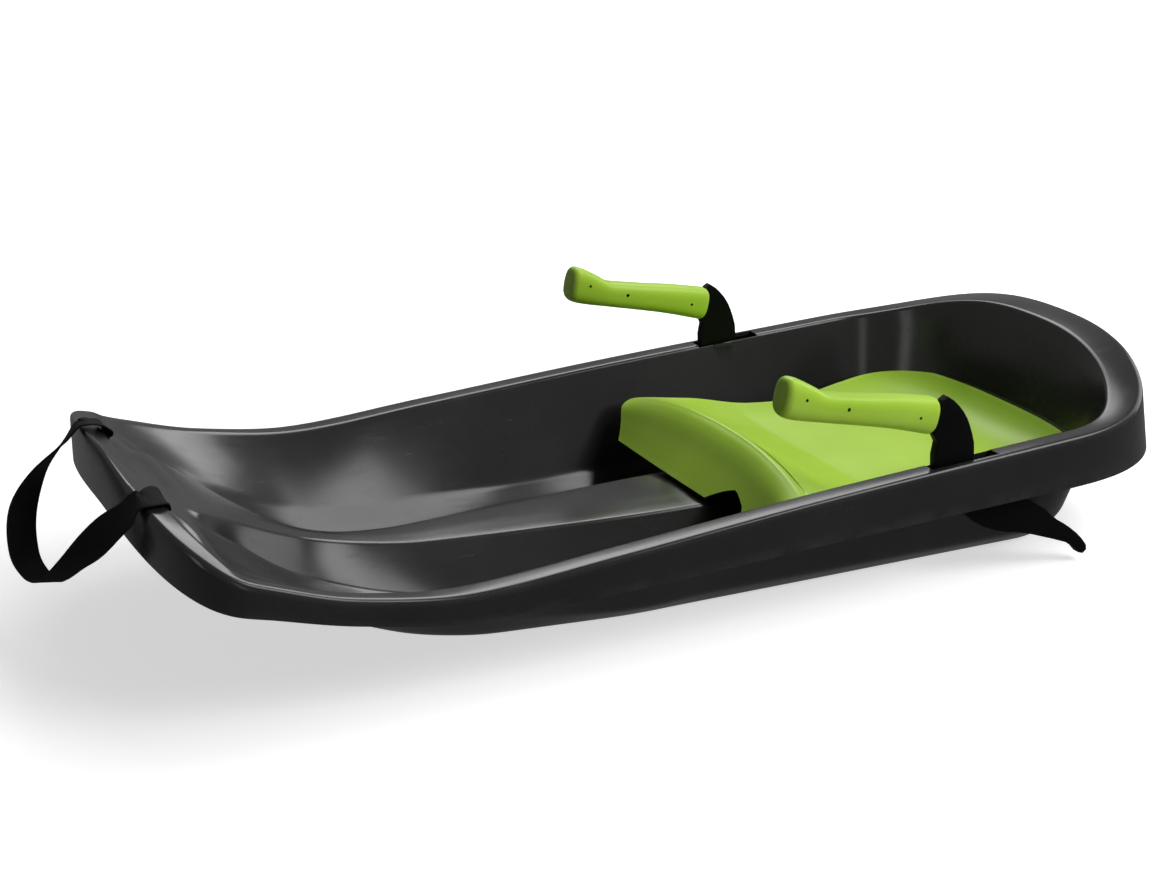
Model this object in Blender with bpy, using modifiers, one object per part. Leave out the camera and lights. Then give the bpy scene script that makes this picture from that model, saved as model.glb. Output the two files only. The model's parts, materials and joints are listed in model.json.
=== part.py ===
"""A child's snow sled: a one-piece moulded hull, a moulded seat, two brake levers and a pull strap.

Metres, +X forward, +Y to the rider's left, +Z up. The origin is on the snow below the middle of
the hull. The hull is one sheet of plastic, lofted between guide curves that run from the middle
of the nose, round one side, to the middle of the rear, and mirrored.
"""
from math import cos, pi, radians, sin

import bmesh
import bpy
import numpy as np
from mathutils import Matrix, Vector

# Hull in plan
LENGTH = 0.992
WIDTH = 0.456
NOSE_LENGTH = 0.061
REAR_LENGTH = 0.156
REAR_FLARE = 0.014
SIDE_FLARE = 0.002
NOSE_FULLNESS = 2.6
REAR_FULLNESS = 2.5
HULL_SHELL = 0.004

# Guide curves of the side, by the share of the way from the rear bend to the nose bend:
# half widths are shares of the sled's width, the rest is in metres
RIM_HALF_WIDTH = ((0, 0.4857), (0.34, 0.4923), (0.7, 0.5), (0.9, 0.4945), (1, 0.4803))
RIM_HEIGHT = ((0, 0.128), (0.34, 0.1145), (0.6, 0.1005), (0.77, 0.092), (0.895, 0.1045), (1, 0.129))
SKIRT_HEIGHT = ((0, 0.0815), (0.34, 0.075), (0.6, 0.070), (0.77, 0.0695), (0.895, 0.0835), (1, 0.103))
FLAT_WIDTH = ((0, 0.022), (0.7, 0.024), (0.9, 0.016), (1, 0.014))
FOOT_HALF_WIDTH = ((0, 0.3618), (0.5, 0.3399), (0.67, 0.3092), (0.8, 0.2851), (0.9, 0.2961),
                   (1, 0.3684))
FOOT_HEIGHT = ((0, 0.022), (0.42, 0.022), (0.67, 0.033), (0.8, 0.046), (0.9, 0.078), (1, 0.124))
FLOOR_HALF_WIDTH = ((0, 0.307), (0.5, 0.2961), (0.67, 0.2675), (0.8, 0.2412), (0.9, 0.2412), (1, 0.2961))
FLOOR_RISE = ((0, 0), (0.70, 0), (0.75, 0.004), (0.79, 0.011), (0.82, 0.020), (0.853, 0.031),
              (0.904, 0.055), (1, 0.117))
CREASE_HALF_WIDTH = ((0, 0.1645), (0.6, 0.1491), (0.72, 0.1272), (0.85, 0.1075), (0.95, 0.1280),
                     (1, 0.2100))
CREASE_RISE = ((0, 0), (0.5, 0), (0.7, 0.012), (0.795, 0.026), (0.853, 0.041), (0.904, 0.061), (1, 0.124))
DECK_HALF_WIDTH = ((0, 0.1096), (0.38, 0.1031), (0.6, 0.0746), (0.72, 0.0526), (0.84, 0.0285),
                   (0.93, 0.0740), (1, 0.1720))
DECK_HEIGHT = ((0, 0.053), (0.4, 0.053), (0.72, 0.055), (0.795, 0.061), (0.853, 0.072),
               (0.904, 0.090), (1, 0.138))
DECK_CROWN = 0.001

# Nose, from its bend to the middle: how far forward and how high each guide ends
NOSE_RIM_HEIGHT = 0.182
NOSE_SKIRT_HEIGHT = 0.128
NOSE_LIP_WIDTH = 0.022
NOSE_LIP_FALL = 0.017
NOSE_STEP = 0.016
NOSE_SWEEP = 1.05
NOSE_LIP_SWEEP = 1.8
NOSE_RAMP_SWEEP = 4.5
NOSE_GUIDE_SPACING = 0.005

# Rear, from its bend to the middle
REAR_RIM_SLOPE = 0.049
REAR_RIM_KICK = 0.039
REAR_KICK_POWER = 3.4
REAR_SKIRT_HEIGHT = 0.088
REAR_FLAT_WIDTH = 0.039
REAR_RIM_FALL = 0.002
REAR_FOOT_LENGTH = 0.084
REAR_FOOT_HEIGHT = 0.040
REAR_FLOOR_LENGTH = 0.072
REAR_CREASE_LENGTH = 0.046
REAR_DECK_LENGTH = 0.028
REAR_SPINE_LENGTH = 0.012

# Where the nose and the rear bends begin
HALF_LENGTH = LENGTH / 2
NOSE_X = HALF_LENGTH - NOSE_LENGTH
REAR_X = -HALF_LENGTH + REAR_FLARE + REAR_LENGTH

# Rounding of the section at each guide, and how many points carry it
RIM_ROUND = 0.006
FLAT_ROUND = 0.004
FOOT_ROUND = 0.016
FLOOR_ROUND = 0.014
CREASE_ROUND = 0.004
DECK_ROUND = 0.005
ROUND_SHARE = 0.42
SIDE_COLUMNS = 24
NOSE_COLUMNS = 10
REAR_COLUMNS = 11

# Seat
SEAT_SHELL = 0.0035
SEAT_LENGTH = 0.282
SEAT_FRONT_X = REAR_X + SEAT_LENGTH
SEAT_CREST_SETBACK = 0.046
SEAT_CREST_HEIGHT = 0.105
SEAT_PAN_LENGTH = 0.105
SEAT_APRON_RISE = ((0, 0), (0.45, 0.48), (0.82, 0.89), (1, 1))
SEAT_PAN_FALL = ((0.105, 0.915), (0.305, 0.64), (0.571, 0.276), (1, 0))
SEAT_FLAT_FROM = 0.42
SEAT_LIP_RISE_TURN = 1.6
SEAT_WALL_MEET_TURN = 2.2
SEAT_BACK_COLUMNS = 10
SEAT_CREST_BOW = 0.016
SEAT_BOW_CREST = 0.17
SEAT_BOW_END = 0.75
SEAT_EDGE_HALF_WIDTH = ((0, 0.2785), (0.067, 0.314), (0.12, 0.346), (0.18, 0.356), (0.30, 0.346),
                        (0.61, 0.3421), (1, 0.3662))
SEAT_EDGE_HEIGHT = ((0, 0.0600), (0.067, 0.0740), (0.12, 0.0850), (0.185, 0.0885), (0.372, 0.0820),
                    (0.61, 0.0660), (0.787, 0.0620), (1, 0.0690))
SEAT_COLUMNS = (0, 0.035, 0.071, 0.106, 0.135, 0.152, 0.167, 0.248, 0.291, 0.348, 0.418, 0.496, 0.585,
                0.674, 0.78, 0.887)
SEAT_ROWS = (0, 0.04, 0.12, 0.25, 0.42, 0.6, 0.8, 1)
SEAT_FOOT_STEP = 0.001
SEAT_GROOVE_SETBACK = 0.0560
SEAT_GROOVE_HALF_WIDTH = 0.003
SEAT_GROOVE_DEPTH = 0.0014
SEAT_NOTCH = ((0.040, 0.050), (0.0437, 0.0565), (0.0475, 0.0601), (0.0608, 0.0678), (0.0694, 0.0717),
              (0.0778, 0.0746), (0.0837, 0.0738), (0.0932, 0.0708), (0.102, 0.0676), (0.108, 0.062),
              (0.112, 0.050))
SEAT_LIP_HEIGHT = 0.085
SEAT_WALL_GAP = 0.0048

# Brake levers
PIVOT_FROM_REAR = 0.123
PIVOT_X = REAR_X + PIVOT_FROM_REAR
PIVOT_HEIGHT = 0.093
LEVER_FROM_RIM = 0.0205
LEVER_Y = WIDTH / 2 - LEVER_FROM_RIM
LEVER_THICKNESS = 0.009
LEVER_REACH = 0.155
PIN_RADIUS = 0.004
PIN_PLAY = 0.0005
BOSS_RADIUS = 0.010
BOSS_GAP = 0.001
SLOT_SIDE_GAP = 0.0030
SLOT_FRONT_GAP = 0.004
SLOT_LENGTH = 0.070
SLOT_REACH = 0.020
SLOT_UNDERCUT = 0.010
NECK_FRONT = 0.024
CORNER_CUT = 0.25
EAR_THICKNESS = 0.004
PIN_START = LEVER_Y - LEVER_THICKNESS / 2 - BOSS_GAP - EAR_THICKNESS

# Grips
GRIP_LENGTH = 0.160
GRIP_WIDTH = 0.028
GRIP_INSET = 0.006
GRIP_TIP = (0.1787, 0.1081)
GRIP_TILT = radians(13.1)
GRIP_HEIGHTS = ((0, 0.0334), (0.244, 0.0300), (0.506, 0.0268), (0.73, 0.0256), (0.80, 0.0292),
                (0.869, 0.0327), (0.9375, 0.0350), (1, 0.0340))
GRIP_RISES = ((0, 0.0006), (0.244, 0.0010), (0.506, -0.0003), (0.73, -0.0013), (0.80, 0.0002),
              (0.869, 0.0019), (0.9375, 0.0035), (1, 0.0048))
GRIP_CORNER = 0.006
GRIP_CORNER_RINGS = (0, 0.1, 0.3, 0.6, 1)
GRIP_RINGS = 16
GRIP_SIDES = 20
GRIP_SQUARENESS = 2.7
CORE_HEIGHT = 0.012
CORE_LENGTH = 0.138
SOCKET_OVERRUN = 0.020
NECK_ABOVE = 0.0165
NECK_BELOW = 0.0150

# Pull strap
STRAP_WIDTH = 0.025
STRAP_THICKNESS = 0.002
STRAP_Y = 0.095
STRAP_SLOT_LENGTH = 0.0285
STRAP_SLOT_WIDTH = 0.007
STRAP_SLOT_DEPTH = 0.028
STRAP_TAIL = 0.031
STRAP_LIFT = 0.0009
STRAP_STEP = 0.008
STRAP_FLAT_RUN = 0.070
STRAP_TURNED_BY = 0.42
STRAP_FOLD_LENGTH = 0.008
STRAP_FOLD_THICKNESS = 0.006
STRAP_FRONT_FACING = (0.99, 0, 0.15)
STRAP_LOOP = ((0.010, -0.078, 0.161), (0.033, -0.081, 0.1355), (0.0515, -0.0715, 0.1055),
              (0.058, -0.045, 0.079), (0.0545, -0.015, 0.0695), (0.049, 0.005, 0.0715),
              (0.0355, 0.0484, 0.1025), (0.016, 0.080, 0.1366), (0.0048, 0.097, 0.1528))
STRAP_CREST_Y = (-0.073, 0.111)
STRAP_LIP_Y = (-0.087, 0.102)
STRAP_SIDE_SLOPE = 0.14

# Gaps
GAP = 0.0003
WELD = 0.00005


def smooth_curve(points, at):
    """A smooth curve through (position, value) points, without overshoot."""
    pos = np.array([p[0] for p in points], float)
    val = np.array([p[1] for p in points], float)
    step = np.diff(pos)
    slope = np.diff(val) / step
    tangent = np.zeros_like(val)
    tangent[0], tangent[-1] = slope[0], slope[-1]
    for i in range(1, len(val) - 1):
        if slope[i - 1] * slope[i] > 0:
            before, after = 2 * step[i] + step[i - 1], step[i] + 2 * step[i - 1]
            tangent[i] = (before + after) / (before / slope[i - 1] + after / slope[i])
    at = np.clip(at, pos[0], pos[-1])
    i = np.clip(np.searchsorted(pos, at, side="right") - 1, 0, len(step) - 1)
    t = (at - pos[i]) / step[i]
    return (val[i] * (1 + 2 * t) * (1 - t) ** 2 + val[i + 1] * t ** 2 * (3 - 2 * t)
            + step[i] * t * (1 - t) * (tangent[i] * (1 - t) - tangent[i + 1] * t))


def side_guide(share, half_width, height):
    x = REAR_X + (NOSE_X - REAR_X) * share
    return np.array([x, WIDTH * smooth_curve(half_width, share), height])


def side_section(share):
    """The eight guide points of the section at a share of the way along the side."""
    rim_y = WIDTH * smooth_curve(RIM_HALF_WIDTH, share)
    x = REAR_X + (NOSE_X - REAR_X) * share
    rim_z = smooth_curve(RIM_HEIGHT, share)
    deck_z = smooth_curve(DECK_HEIGHT, share)
    return np.array([
        (x, rim_y + SIDE_FLARE, smooth_curve(SKIRT_HEIGHT, share)),
        (x, rim_y, rim_z),
        (x, rim_y - smooth_curve(FLAT_WIDTH, share), rim_z),
        side_guide(share, FOOT_HALF_WIDTH, smooth_curve(FOOT_HEIGHT, share)),
        side_guide(share, FLOOR_HALF_WIDTH, HULL_SHELL + smooth_curve(FLOOR_RISE, share)),
        side_guide(share, CREASE_HALF_WIDTH, HULL_SHELL + smooth_curve(CREASE_RISE, share)),
        side_guide(share, DECK_HALF_WIDTH, deck_z),
        (x, 0, deck_z + DECK_CROWN)])


def bend_section(bend, reach, end_height, rise, fullness, turn, direction):
    """A section in the nose or the rear, turned from the side (0) to the middle (1)."""
    angle = turn * pi / 2
    side = cos(angle) ** (2 / fullness) if turn < 1 else 0.0
    ahead = sin(angle) ** (2 / fullness)
    out = np.array(bend)
    out[:, 0] += direction * reach * ahead
    out[:, 1] *= side
    out[:, 2] += (end_height - bend[:, 2]) * rise
    return out


def nose_section(turn):
    bend = side_section(1.0)
    reach = NOSE_LENGTH - NOSE_LIP_WIDTH * np.array([0, 0, 1, 1, 1, 1, 1, 1])
    reach -= NOSE_GUIDE_SPACING * np.array([0, 0, 0, 1.0, 2.0, 3.0, 4.2, 5.4])
    lip = NOSE_RIM_HEIGHT - NOSE_LIP_FALL
    end = np.array([NOSE_SKIRT_HEIGHT, NOSE_RIM_HEIGHT, lip, lip - NOSE_STEP, lip - NOSE_STEP - 0.003,
                    lip - NOSE_STEP - 0.005, lip - NOSE_STEP - 0.007, lip - NOSE_STEP - 0.009])
    sweep = np.array([NOSE_SWEEP] * 2 + [NOSE_LIP_SWEEP] * 2 + [NOSE_RAMP_SWEEP] * 4)
    rise = 1 - (1 - turn) ** sweep
    return bend_section(bend, reach, end, rise, NOSE_FULLNESS, turn, 1)


def rear_section(turn):
    bend = side_section(0.0)
    reach = np.array([REAR_LENGTH + REAR_FLARE, REAR_LENGTH, REAR_LENGTH - REAR_FLAT_WIDTH,
                      REAR_FOOT_LENGTH, REAR_FLOOR_LENGTH, REAR_CREASE_LENGTH, REAR_DECK_LENGTH,
                      REAR_SPINE_LENGTH])
    ahead = sin(turn * pi / 2) ** (2 / REAR_FULLNESS)
    out = bend_section(bend, reach, bend[:, 2], 0.0, REAR_FULLNESS, turn, -1)
    rim_rise = REAR_RIM_SLOPE * REAR_LENGTH * ahead + REAR_RIM_KICK * ahead ** REAR_KICK_POWER
    out[1, 2] += rim_rise
    out[2, 2] += rim_rise - REAR_RIM_FALL * ahead
    out[0, 2] += (REAR_SKIRT_HEIGHT - bend[0, 2]) * ahead
    out[3, 2] += (REAR_FOOT_HEIGHT - bend[3, 2]) * ahead
    return out


def rounded(section, rounds):
    """The section's guide points joined by straight stretches, with each corner rounded."""
    path = [section[0], (section[0] + section[1]) / 2]
    for i in range(1, len(section) - 1):
        corner = section[i]
        before, after = section[i - 1] - corner, section[i + 1] - corner
        reach = min(rounds[i], ROUND_SHARE * np.linalg.norm(before), ROUND_SHARE * np.linalg.norm(after))
        a = corner + before / np.linalg.norm(before) * reach
        b = corner + after / np.linalg.norm(after) * reach
        path += [a, (a + 2 * corner + b) / 4, b]
        if i in (2, 4):
            path.append((corner + section[i + 1]) / 2)
    path += [(path[-1] + section[-1]) / 2, section[-1]]
    return path


def hull_sections():
    rounds = (0, RIM_ROUND, FLAT_ROUND, FOOT_ROUND, FLOOR_ROUND, CREASE_ROUND, DECK_ROUND, 0)
    nose = [nose_section(1 - i / NOSE_COLUMNS) for i in range(NOSE_COLUMNS)]
    side = [side_section(1 - i / SIDE_COLUMNS) for i in range(SIDE_COLUMNS)]
    rear = [rear_section(i / REAR_COLUMNS) for i in range(REAR_COLUMNS + 1)]
    return [rounded(s, rounds) for s in nose + side + rear]


def material(name, colour, roughness, metallic=0.0):
    mat = bpy.data.materials.new(name)
    mat.use_nodes = True
    shader = mat.node_tree.nodes["Principled BSDF"]
    shader.inputs["Base Color"].default_value = (*colour, 1)
    shader.inputs["Roughness"].default_value = roughness
    shader.inputs["Metallic"].default_value = metallic
    return mat


def add_object(name, mesh, collection, mat=None):
    obj = bpy.data.objects.new(name, mesh)
    collection.objects.link(obj)
    if mat:
        mesh.materials.append(mat)
    return obj


def grid_mesh(name, rows):
    """A sheet of quads through rows of points."""
    bm = bmesh.new()
    verts = [[bm.verts.new(Vector(p)) for p in row] for row in rows]
    for a, b in zip(verts, verts[1:]):
        for i in range(len(a) - 1):
            bm.faces.new((a[i], b[i], b[i + 1], a[i + 1]))
    mesh = bpy.data.meshes.new(name)
    bm.to_mesh(mesh)
    bm.free()
    return mesh


def mirror_and_thicken(obj, thickness, offset):
    mirror = obj.modifiers.new("Left and right", "MIRROR")
    mirror.use_axis = (False, True, False)
    mirror.use_clip = True
    mirror.merge_threshold = WELD
    solid = obj.modifiers.new("Sheet", "SOLIDIFY")
    solid.thickness = thickness
    solid.offset = offset
    solid.use_even_offset = True


def smooth_shade(mesh, angle=35):
    mesh.shade_smooth()
    mesh.set_sharp_from_angle(angle=radians(angle))


def boolean(obj, cutter, operation):
    mod = obj.modifiers.new(operation.title(), "BOOLEAN")
    mod.operation = operation
    mod.object = cutter
    mod.solver = "EXACT"


def hide_cutter(obj):
    obj.hide_render = True
    obj.display_type = "WIRE"


def cutter_box(name, low, high, cutters):
    bm = bmesh.new()
    bmesh.ops.create_cube(bm, size=1)
    low, high = Vector(low), Vector(high)
    for v in bm.verts:
        v.co = Vector([low[i] + (v.co[i] + 0.5) * (high[i] - low[i]) for i in range(3)])
    mesh = bpy.data.meshes.new(name)
    bm.to_mesh(mesh)
    bm.free()
    obj = add_object(name, mesh, cutters)
    hide_cutter(obj)
    return obj


def rod(name, radius, y_from, y_to, x, z, collection, mat=None, segments=24):
    """A round rod along Y."""
    bm = bmesh.new()
    bmesh.ops.create_cone(bm, cap_ends=True, segments=segments, radius1=radius, radius2=radius,
                          depth=abs(y_to - y_from))
    mesh = bpy.data.meshes.new(name)
    bm.to_mesh(mesh)
    bm.free()
    obj = add_object(name, mesh, collection, mat)
    obj.location = (x, (y_from + y_to) / 2, z)
    obj.rotation_euler = (pi / 2, 0, 0)
    smooth_shade(mesh)
    return obj


def rim_height_at(x):
    return float(smooth_curve(RIM_HEIGHT, (x - REAR_X) / (NOSE_X - REAR_X)))


def inner_wall_y(x, z):
    """Half width of the tub at a height on its side wall."""
    section = side_section(np.clip((x - REAR_X) / (NOSE_X - REAR_X), 0, 1))
    foot, top = section[3], section[2]
    return float(foot[1] + (top[1] - foot[1]) * (z - foot[2]) / (top[2] - foot[2]))


def build_hull(collection, cutters, mat):
    hull = add_object("hull", grid_mesh("hull", hull_sections()), collection, mat)
    mirror_and_thicken(hull, HULL_SHELL, -1)
    skirt_y = skirt_at_pivot()
    half = LEVER_THICKNESS / 2
    neck_front = PIVOT_X + NECK_FRONT
    rim_z = rim_height_at(PIVOT_X)
    slot_top = rim_z + SLOT_REACH
    slot_bottom = rim_z - HULL_SHELL - SLOT_UNDERCUT
    joined, cut = [], []
    for side, sign in (("left", 1), ("right", -1)):
        ear_faces = sorted((sign * (LEVER_Y - half - BOSS_GAP - EAR_THICKNESS),
                            sign * (LEVER_Y - half - BOSS_GAP)))
        inner = rod(f"ear {side}", BOSS_RADIUS, *ear_faces, PIVOT_X, PIVOT_HEIGHT, cutters)
        web = cutter_box(f"ear web {side}", (PIVOT_X - BOSS_RADIUS, ear_faces[0], PIVOT_HEIGHT),
                         (PIVOT_X + BOSS_RADIUS, ear_faces[1], rim_z - HULL_SHELL / 2), cutters)
        outer = rod(f"outer boss {side}", BOSS_RADIUS, sign * (LEVER_Y + half + BOSS_GAP),
                    sign * (skirt_y - HULL_SHELL * 0.5), PIVOT_X, PIVOT_HEIGHT, cutters)
        bore = rod(f"pin bore {side}", PIN_RADIUS + GAP, sign * (PIN_START - EAR_THICKNESS),
                   sign * (pin_end(skirt_y) + GAP), PIVOT_X, PIVOT_HEIGHT, cutters)
        for cutter in (inner, web, outer, bore):
            hide_cutter(cutter)
        joined += [inner, web, outer]
        slot_y = (sign * (LEVER_Y - half - SLOT_SIDE_GAP), sign * (LEVER_Y + half + SLOT_SIDE_GAP))
        slot = cutter_box(f"lever slot {side}",
                          (neck_front + SLOT_FRONT_GAP - SLOT_LENGTH, min(slot_y), slot_bottom),
                          (neck_front + SLOT_FRONT_GAP, max(slot_y), slot_top), cutters)
        x, z = strap_slot_place()
        strap = cutter_box(f"strap slot {side}",
                           (x - STRAP_SLOT_WIDTH / 2, sign * STRAP_Y - STRAP_SLOT_LENGTH / 2,
                            z - STRAP_SLOT_DEPTH),
                           (x + STRAP_SLOT_WIDTH / 2, sign * STRAP_Y + STRAP_SLOT_LENGTH / 2,
                            z + STRAP_SLOT_DEPTH / 2),
                           cutters)
        cut += [bore, slot, strap]
    for cutter in joined:
        boolean(hull, cutter, "UNION")
    for cutter in cut:
        boolean(hull, cutter, "DIFFERENCE")
    smooth_shade(hull.data)
    return hull


def skirt_at_pivot():
    return WIDTH * float(smooth_curve(RIM_HALF_WIDTH, (PIVOT_X - REAR_X) / (NOSE_X - REAR_X)))


def pin_end(skirt_y):
    return skirt_y - HULL_SHELL


def strap_slot_place():
    """Middle of the strap slot, on the ramp just behind the nose's lip."""
    lip, foot = nose_guide_at(2, STRAP_Y), nose_guide_at(3, STRAP_Y)
    return lip[0] - STRAP_SLOT_WIDTH / 2, foot[2]


def nose_guide_at(guide, y):
    """Where a guide curve of the nose stands at a half width."""
    low, high = 0.0, 1.0
    for _ in range(40):
        middle = (low + high) / 2
        if nose_section(middle)[guide][1] > y:
            low = middle
        else:
            high = middle
    return [float(c) for c in nose_section(low)[guide]]


def softened(points):
    """The same open line with each inner corner cut back to two gentler ones."""
    out = [points[0]]
    for i in range(1, len(points) - 1):
        for other in (points[i - 1], points[i + 1]):
            out.append(tuple(c + (o - c) * CORNER_CUT for c, o in zip(points[i], other)))
    return out + [points[-1]]


def lever_outline():
    """The lever's side outline about its pivot, forward and up, from the grip's core round."""
    along = Vector((cos(GRIP_TILT), sin(GRIP_TILT)))
    up = Vector((-along.y, along.x)) * CORE_HEIGHT / 2
    tip = Vector(GRIP_TIP) - along * (GRIP_LENGTH - CORE_LENGTH)
    root = tip - along * CORE_LENGTH
    heel = root - along * GAP
    crown = up.normalized() * NECK_ABOVE
    chin = up.normalized() * NECK_BELOW
    claw = ((0.09, 0.587), (0.032, 0.548), (-0.039, 0.465), (-0.084, 0.368), (-0.116, 0.258),
            (-0.106, 0.097), (-0.194, -0.019), (-0.4, -0.077), (-0.626, -0.181), (-0.723, -0.277),
            (-0.826, -0.342), (-0.929, -0.426), (-1, -0.516), (-0.948, -0.555), (-0.877, -0.477),
            (-0.8, -0.439), (-0.497, -0.329), (-0.348, -0.303), (-0.168, -0.226), (-0.032, -0.1),
            (0.087, -0.052), (0.103, 0.032), (0.148, 0.116))
    arm = [(a * LEVER_REACH, b * LEVER_REACH) for a, b in softened(claw)]
    neck = [(NECK_FRONT, 0.245 * LEVER_REACH), (NECK_FRONT - 0.002, 0.32 * LEVER_REACH)]
    return ([tuple(tip + up), tuple(heel + up), tuple(heel + crown)] + arm + neck
            + [tuple(heel - chin), tuple(heel - up), tuple(tip - up)])


def curve_solid(name, outline, thickness, collection, mat, x, y, z):
    """A flat plate of an outline in the XZ plane, as a mesh with its origin at the pivot."""
    curve = bpy.data.curves.new(name, "CURVE")
    curve.dimensions = "2D"
    curve.fill_mode = "BOTH"
    curve.extrude = thickness / 2
    spline = curve.splines.new("POLY")
    spline.points.add(len(outline) - 1)
    for point, (a, b) in zip(spline.points, outline):
        point.co = (a, b, 0, 1)
    spline.use_cyclic_u = True
    temp = bpy.data.objects.new(name + " outline", curve)
    bpy.context.scene.collection.objects.link(temp)
    depsgraph = bpy.context.evaluated_depsgraph_get()
    mesh = bpy.data.meshes.new_from_object(temp.evaluated_get(depsgraph))
    bpy.data.objects.remove(temp)
    bm = bmesh.new()
    bm.from_mesh(mesh)
    bmesh.ops.remove_doubles(bm, verts=bm.verts, dist=WELD)
    bmesh.ops.rotate(bm, verts=bm.verts, cent=(0, 0, 0), matrix=Matrix.Rotation(pi / 2, 3, "X"))
    bmesh.ops.recalc_face_normals(bm, faces=bm.faces)
    bm.to_mesh(mesh)
    bm.free()
    obj = add_object(name, mesh, collection, mat)
    obj.location = (x, y, z)
    return obj


def build_lever(side, sign, collection, cutters, mats):
    y = sign * LEVER_Y
    lever = curve_solid(f"lever_{side}", lever_outline(), LEVER_THICKNESS, collection, mats["black"],
                        PIVOT_X, y, PIVOT_HEIGHT)
    reach = LEVER_THICKNESS
    bore = rod(f"lever bore {side}", PIN_RADIUS + PIN_PLAY, y - reach, y + reach,
               PIVOT_X, PIVOT_HEIGHT, cutters)
    hide_cutter(bore)
    boolean(lever, bore, "DIFFERENCE")
    smooth_shade(lever.data)
    rod(f"pivot_pin_{side}", PIN_RADIUS, sign * PIN_START, sign * pin_end(skirt_at_pivot()),
        PIVOT_X, PIVOT_HEIGHT, collection, mats["steel"])
    build_grip(side, y, lever, collection, cutters, mats["lime"])


def build_grip(side, y, lever, collection, cutters, mat):
    """A hand grip of oval sections, with a socket for the lever's core."""
    along = Vector((cos(GRIP_TILT), 0, sin(GRIP_TILT)))
    up = Vector((-along.z, 0, along.x))
    core_tip = Vector((GRIP_TIP[0], 0, GRIP_TIP[1]))
    inset = Vector((0, -GRIP_INSET if y > 0 else GRIP_INSET, 0))
    tip = core_tip + inset
    corner = [share * GRIP_CORNER for share in GRIP_CORNER_RINGS]
    body = GRIP_LENGTH - 2 * GRIP_CORNER
    between = [GRIP_CORNER + body * (i + 1) / GRIP_RINGS for i in range(GRIP_RINGS - 1)]
    places = corner + between + [GRIP_LENGTH - c for c in reversed(corner)]
    bm = bmesh.new()
    loops = []
    for place in places:
        share = place / GRIP_LENGTH
        end = 1 - min(place, GRIP_LENGTH - place, GRIP_CORNER) / GRIP_CORNER
        trim = 2 * GRIP_CORNER * (1 - (1 - end ** 2) ** 0.5)
        height = float(smooth_curve(GRIP_HEIGHTS, share)) - trim
        width = GRIP_WIDTH - trim
        centre = tip - along * (GRIP_LENGTH - place) + up * float(smooth_curve(GRIP_RISES, share))
        loop = []
        for j in range(GRIP_SIDES):
            a = 2 * pi * (j + 0.5) / GRIP_SIDES
            power = GRIP_SQUARENESS
            out = (abs(cos(a)) ** power + abs(sin(a)) ** power) ** (-1 / power)
            loop.append(bm.verts.new(centre + Vector((0, 1, 0)) * out * cos(a) * width / 2
                                     + up * out * sin(a) * height / 2))
        loops.append(loop)
    for a, b in zip(loops, loops[1:]):
        for j in range(GRIP_SIDES):
            k = (j + 1) % GRIP_SIDES
            bm.faces.new((a[j], a[k], b[k], b[j]))
    bm.faces.new(loops[0][::-1])
    bm.faces.new(loops[-1])
    bmesh.ops.recalc_face_normals(bm, faces=bm.faces)
    mesh = bpy.data.meshes.new(f"grip_{side}")
    bm.to_mesh(mesh)
    bm.free()
    grip = add_object(f"grip_{side}", mesh, collection, mat)
    grip.location = (PIVOT_X, y, PIVOT_HEIGHT)
    core_end = core_tip - along * (GRIP_LENGTH - CORE_LENGTH)
    half = Vector((CORE_LENGTH / 2 + SOCKET_OVERRUN, LEVER_THICKNESS / 2 + GAP, CORE_HEIGHT / 2 + GAP))
    socket = cutter_box(f"grip socket {side}", -half, half, cutters)
    socket.location = Vector((PIVOT_X, y, PIVOT_HEIGHT)) + core_end - along * (half.x - GAP)
    socket.rotation_euler = (0, -GRIP_TILT, 0)
    boolean(grip, socket, "DIFFERENCE")
    smooth_shade(mesh)
    return grip


def seat_profile(share_x):
    """Height of the seat's middle at a distance behind its front edge."""
    deck = DECK_HEIGHT[0][1] + DECK_CROWN
    pan = deck + GAP + SEAT_SHELL
    foot = pan + SEAT_FOOT_STEP
    crest = SEAT_CREST_SETBACK
    rise = SEAT_CREST_HEIGHT - foot
    points = [(crest * share, foot + rise * height) for share, height in SEAT_APRON_RISE]
    points += [(crest + SEAT_PAN_LENGTH * share, pan + (SEAT_CREST_HEIGHT - pan) * height)
               for share, height in SEAT_PAN_FALL]
    groove = max(0, 1 - abs(share_x - SEAT_GROOVE_SETBACK) / SEAT_GROOVE_HALF_WIDTH)
    return float(smooth_curve(points, share_x)) - SEAT_GROOVE_DEPTH * groove


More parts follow.
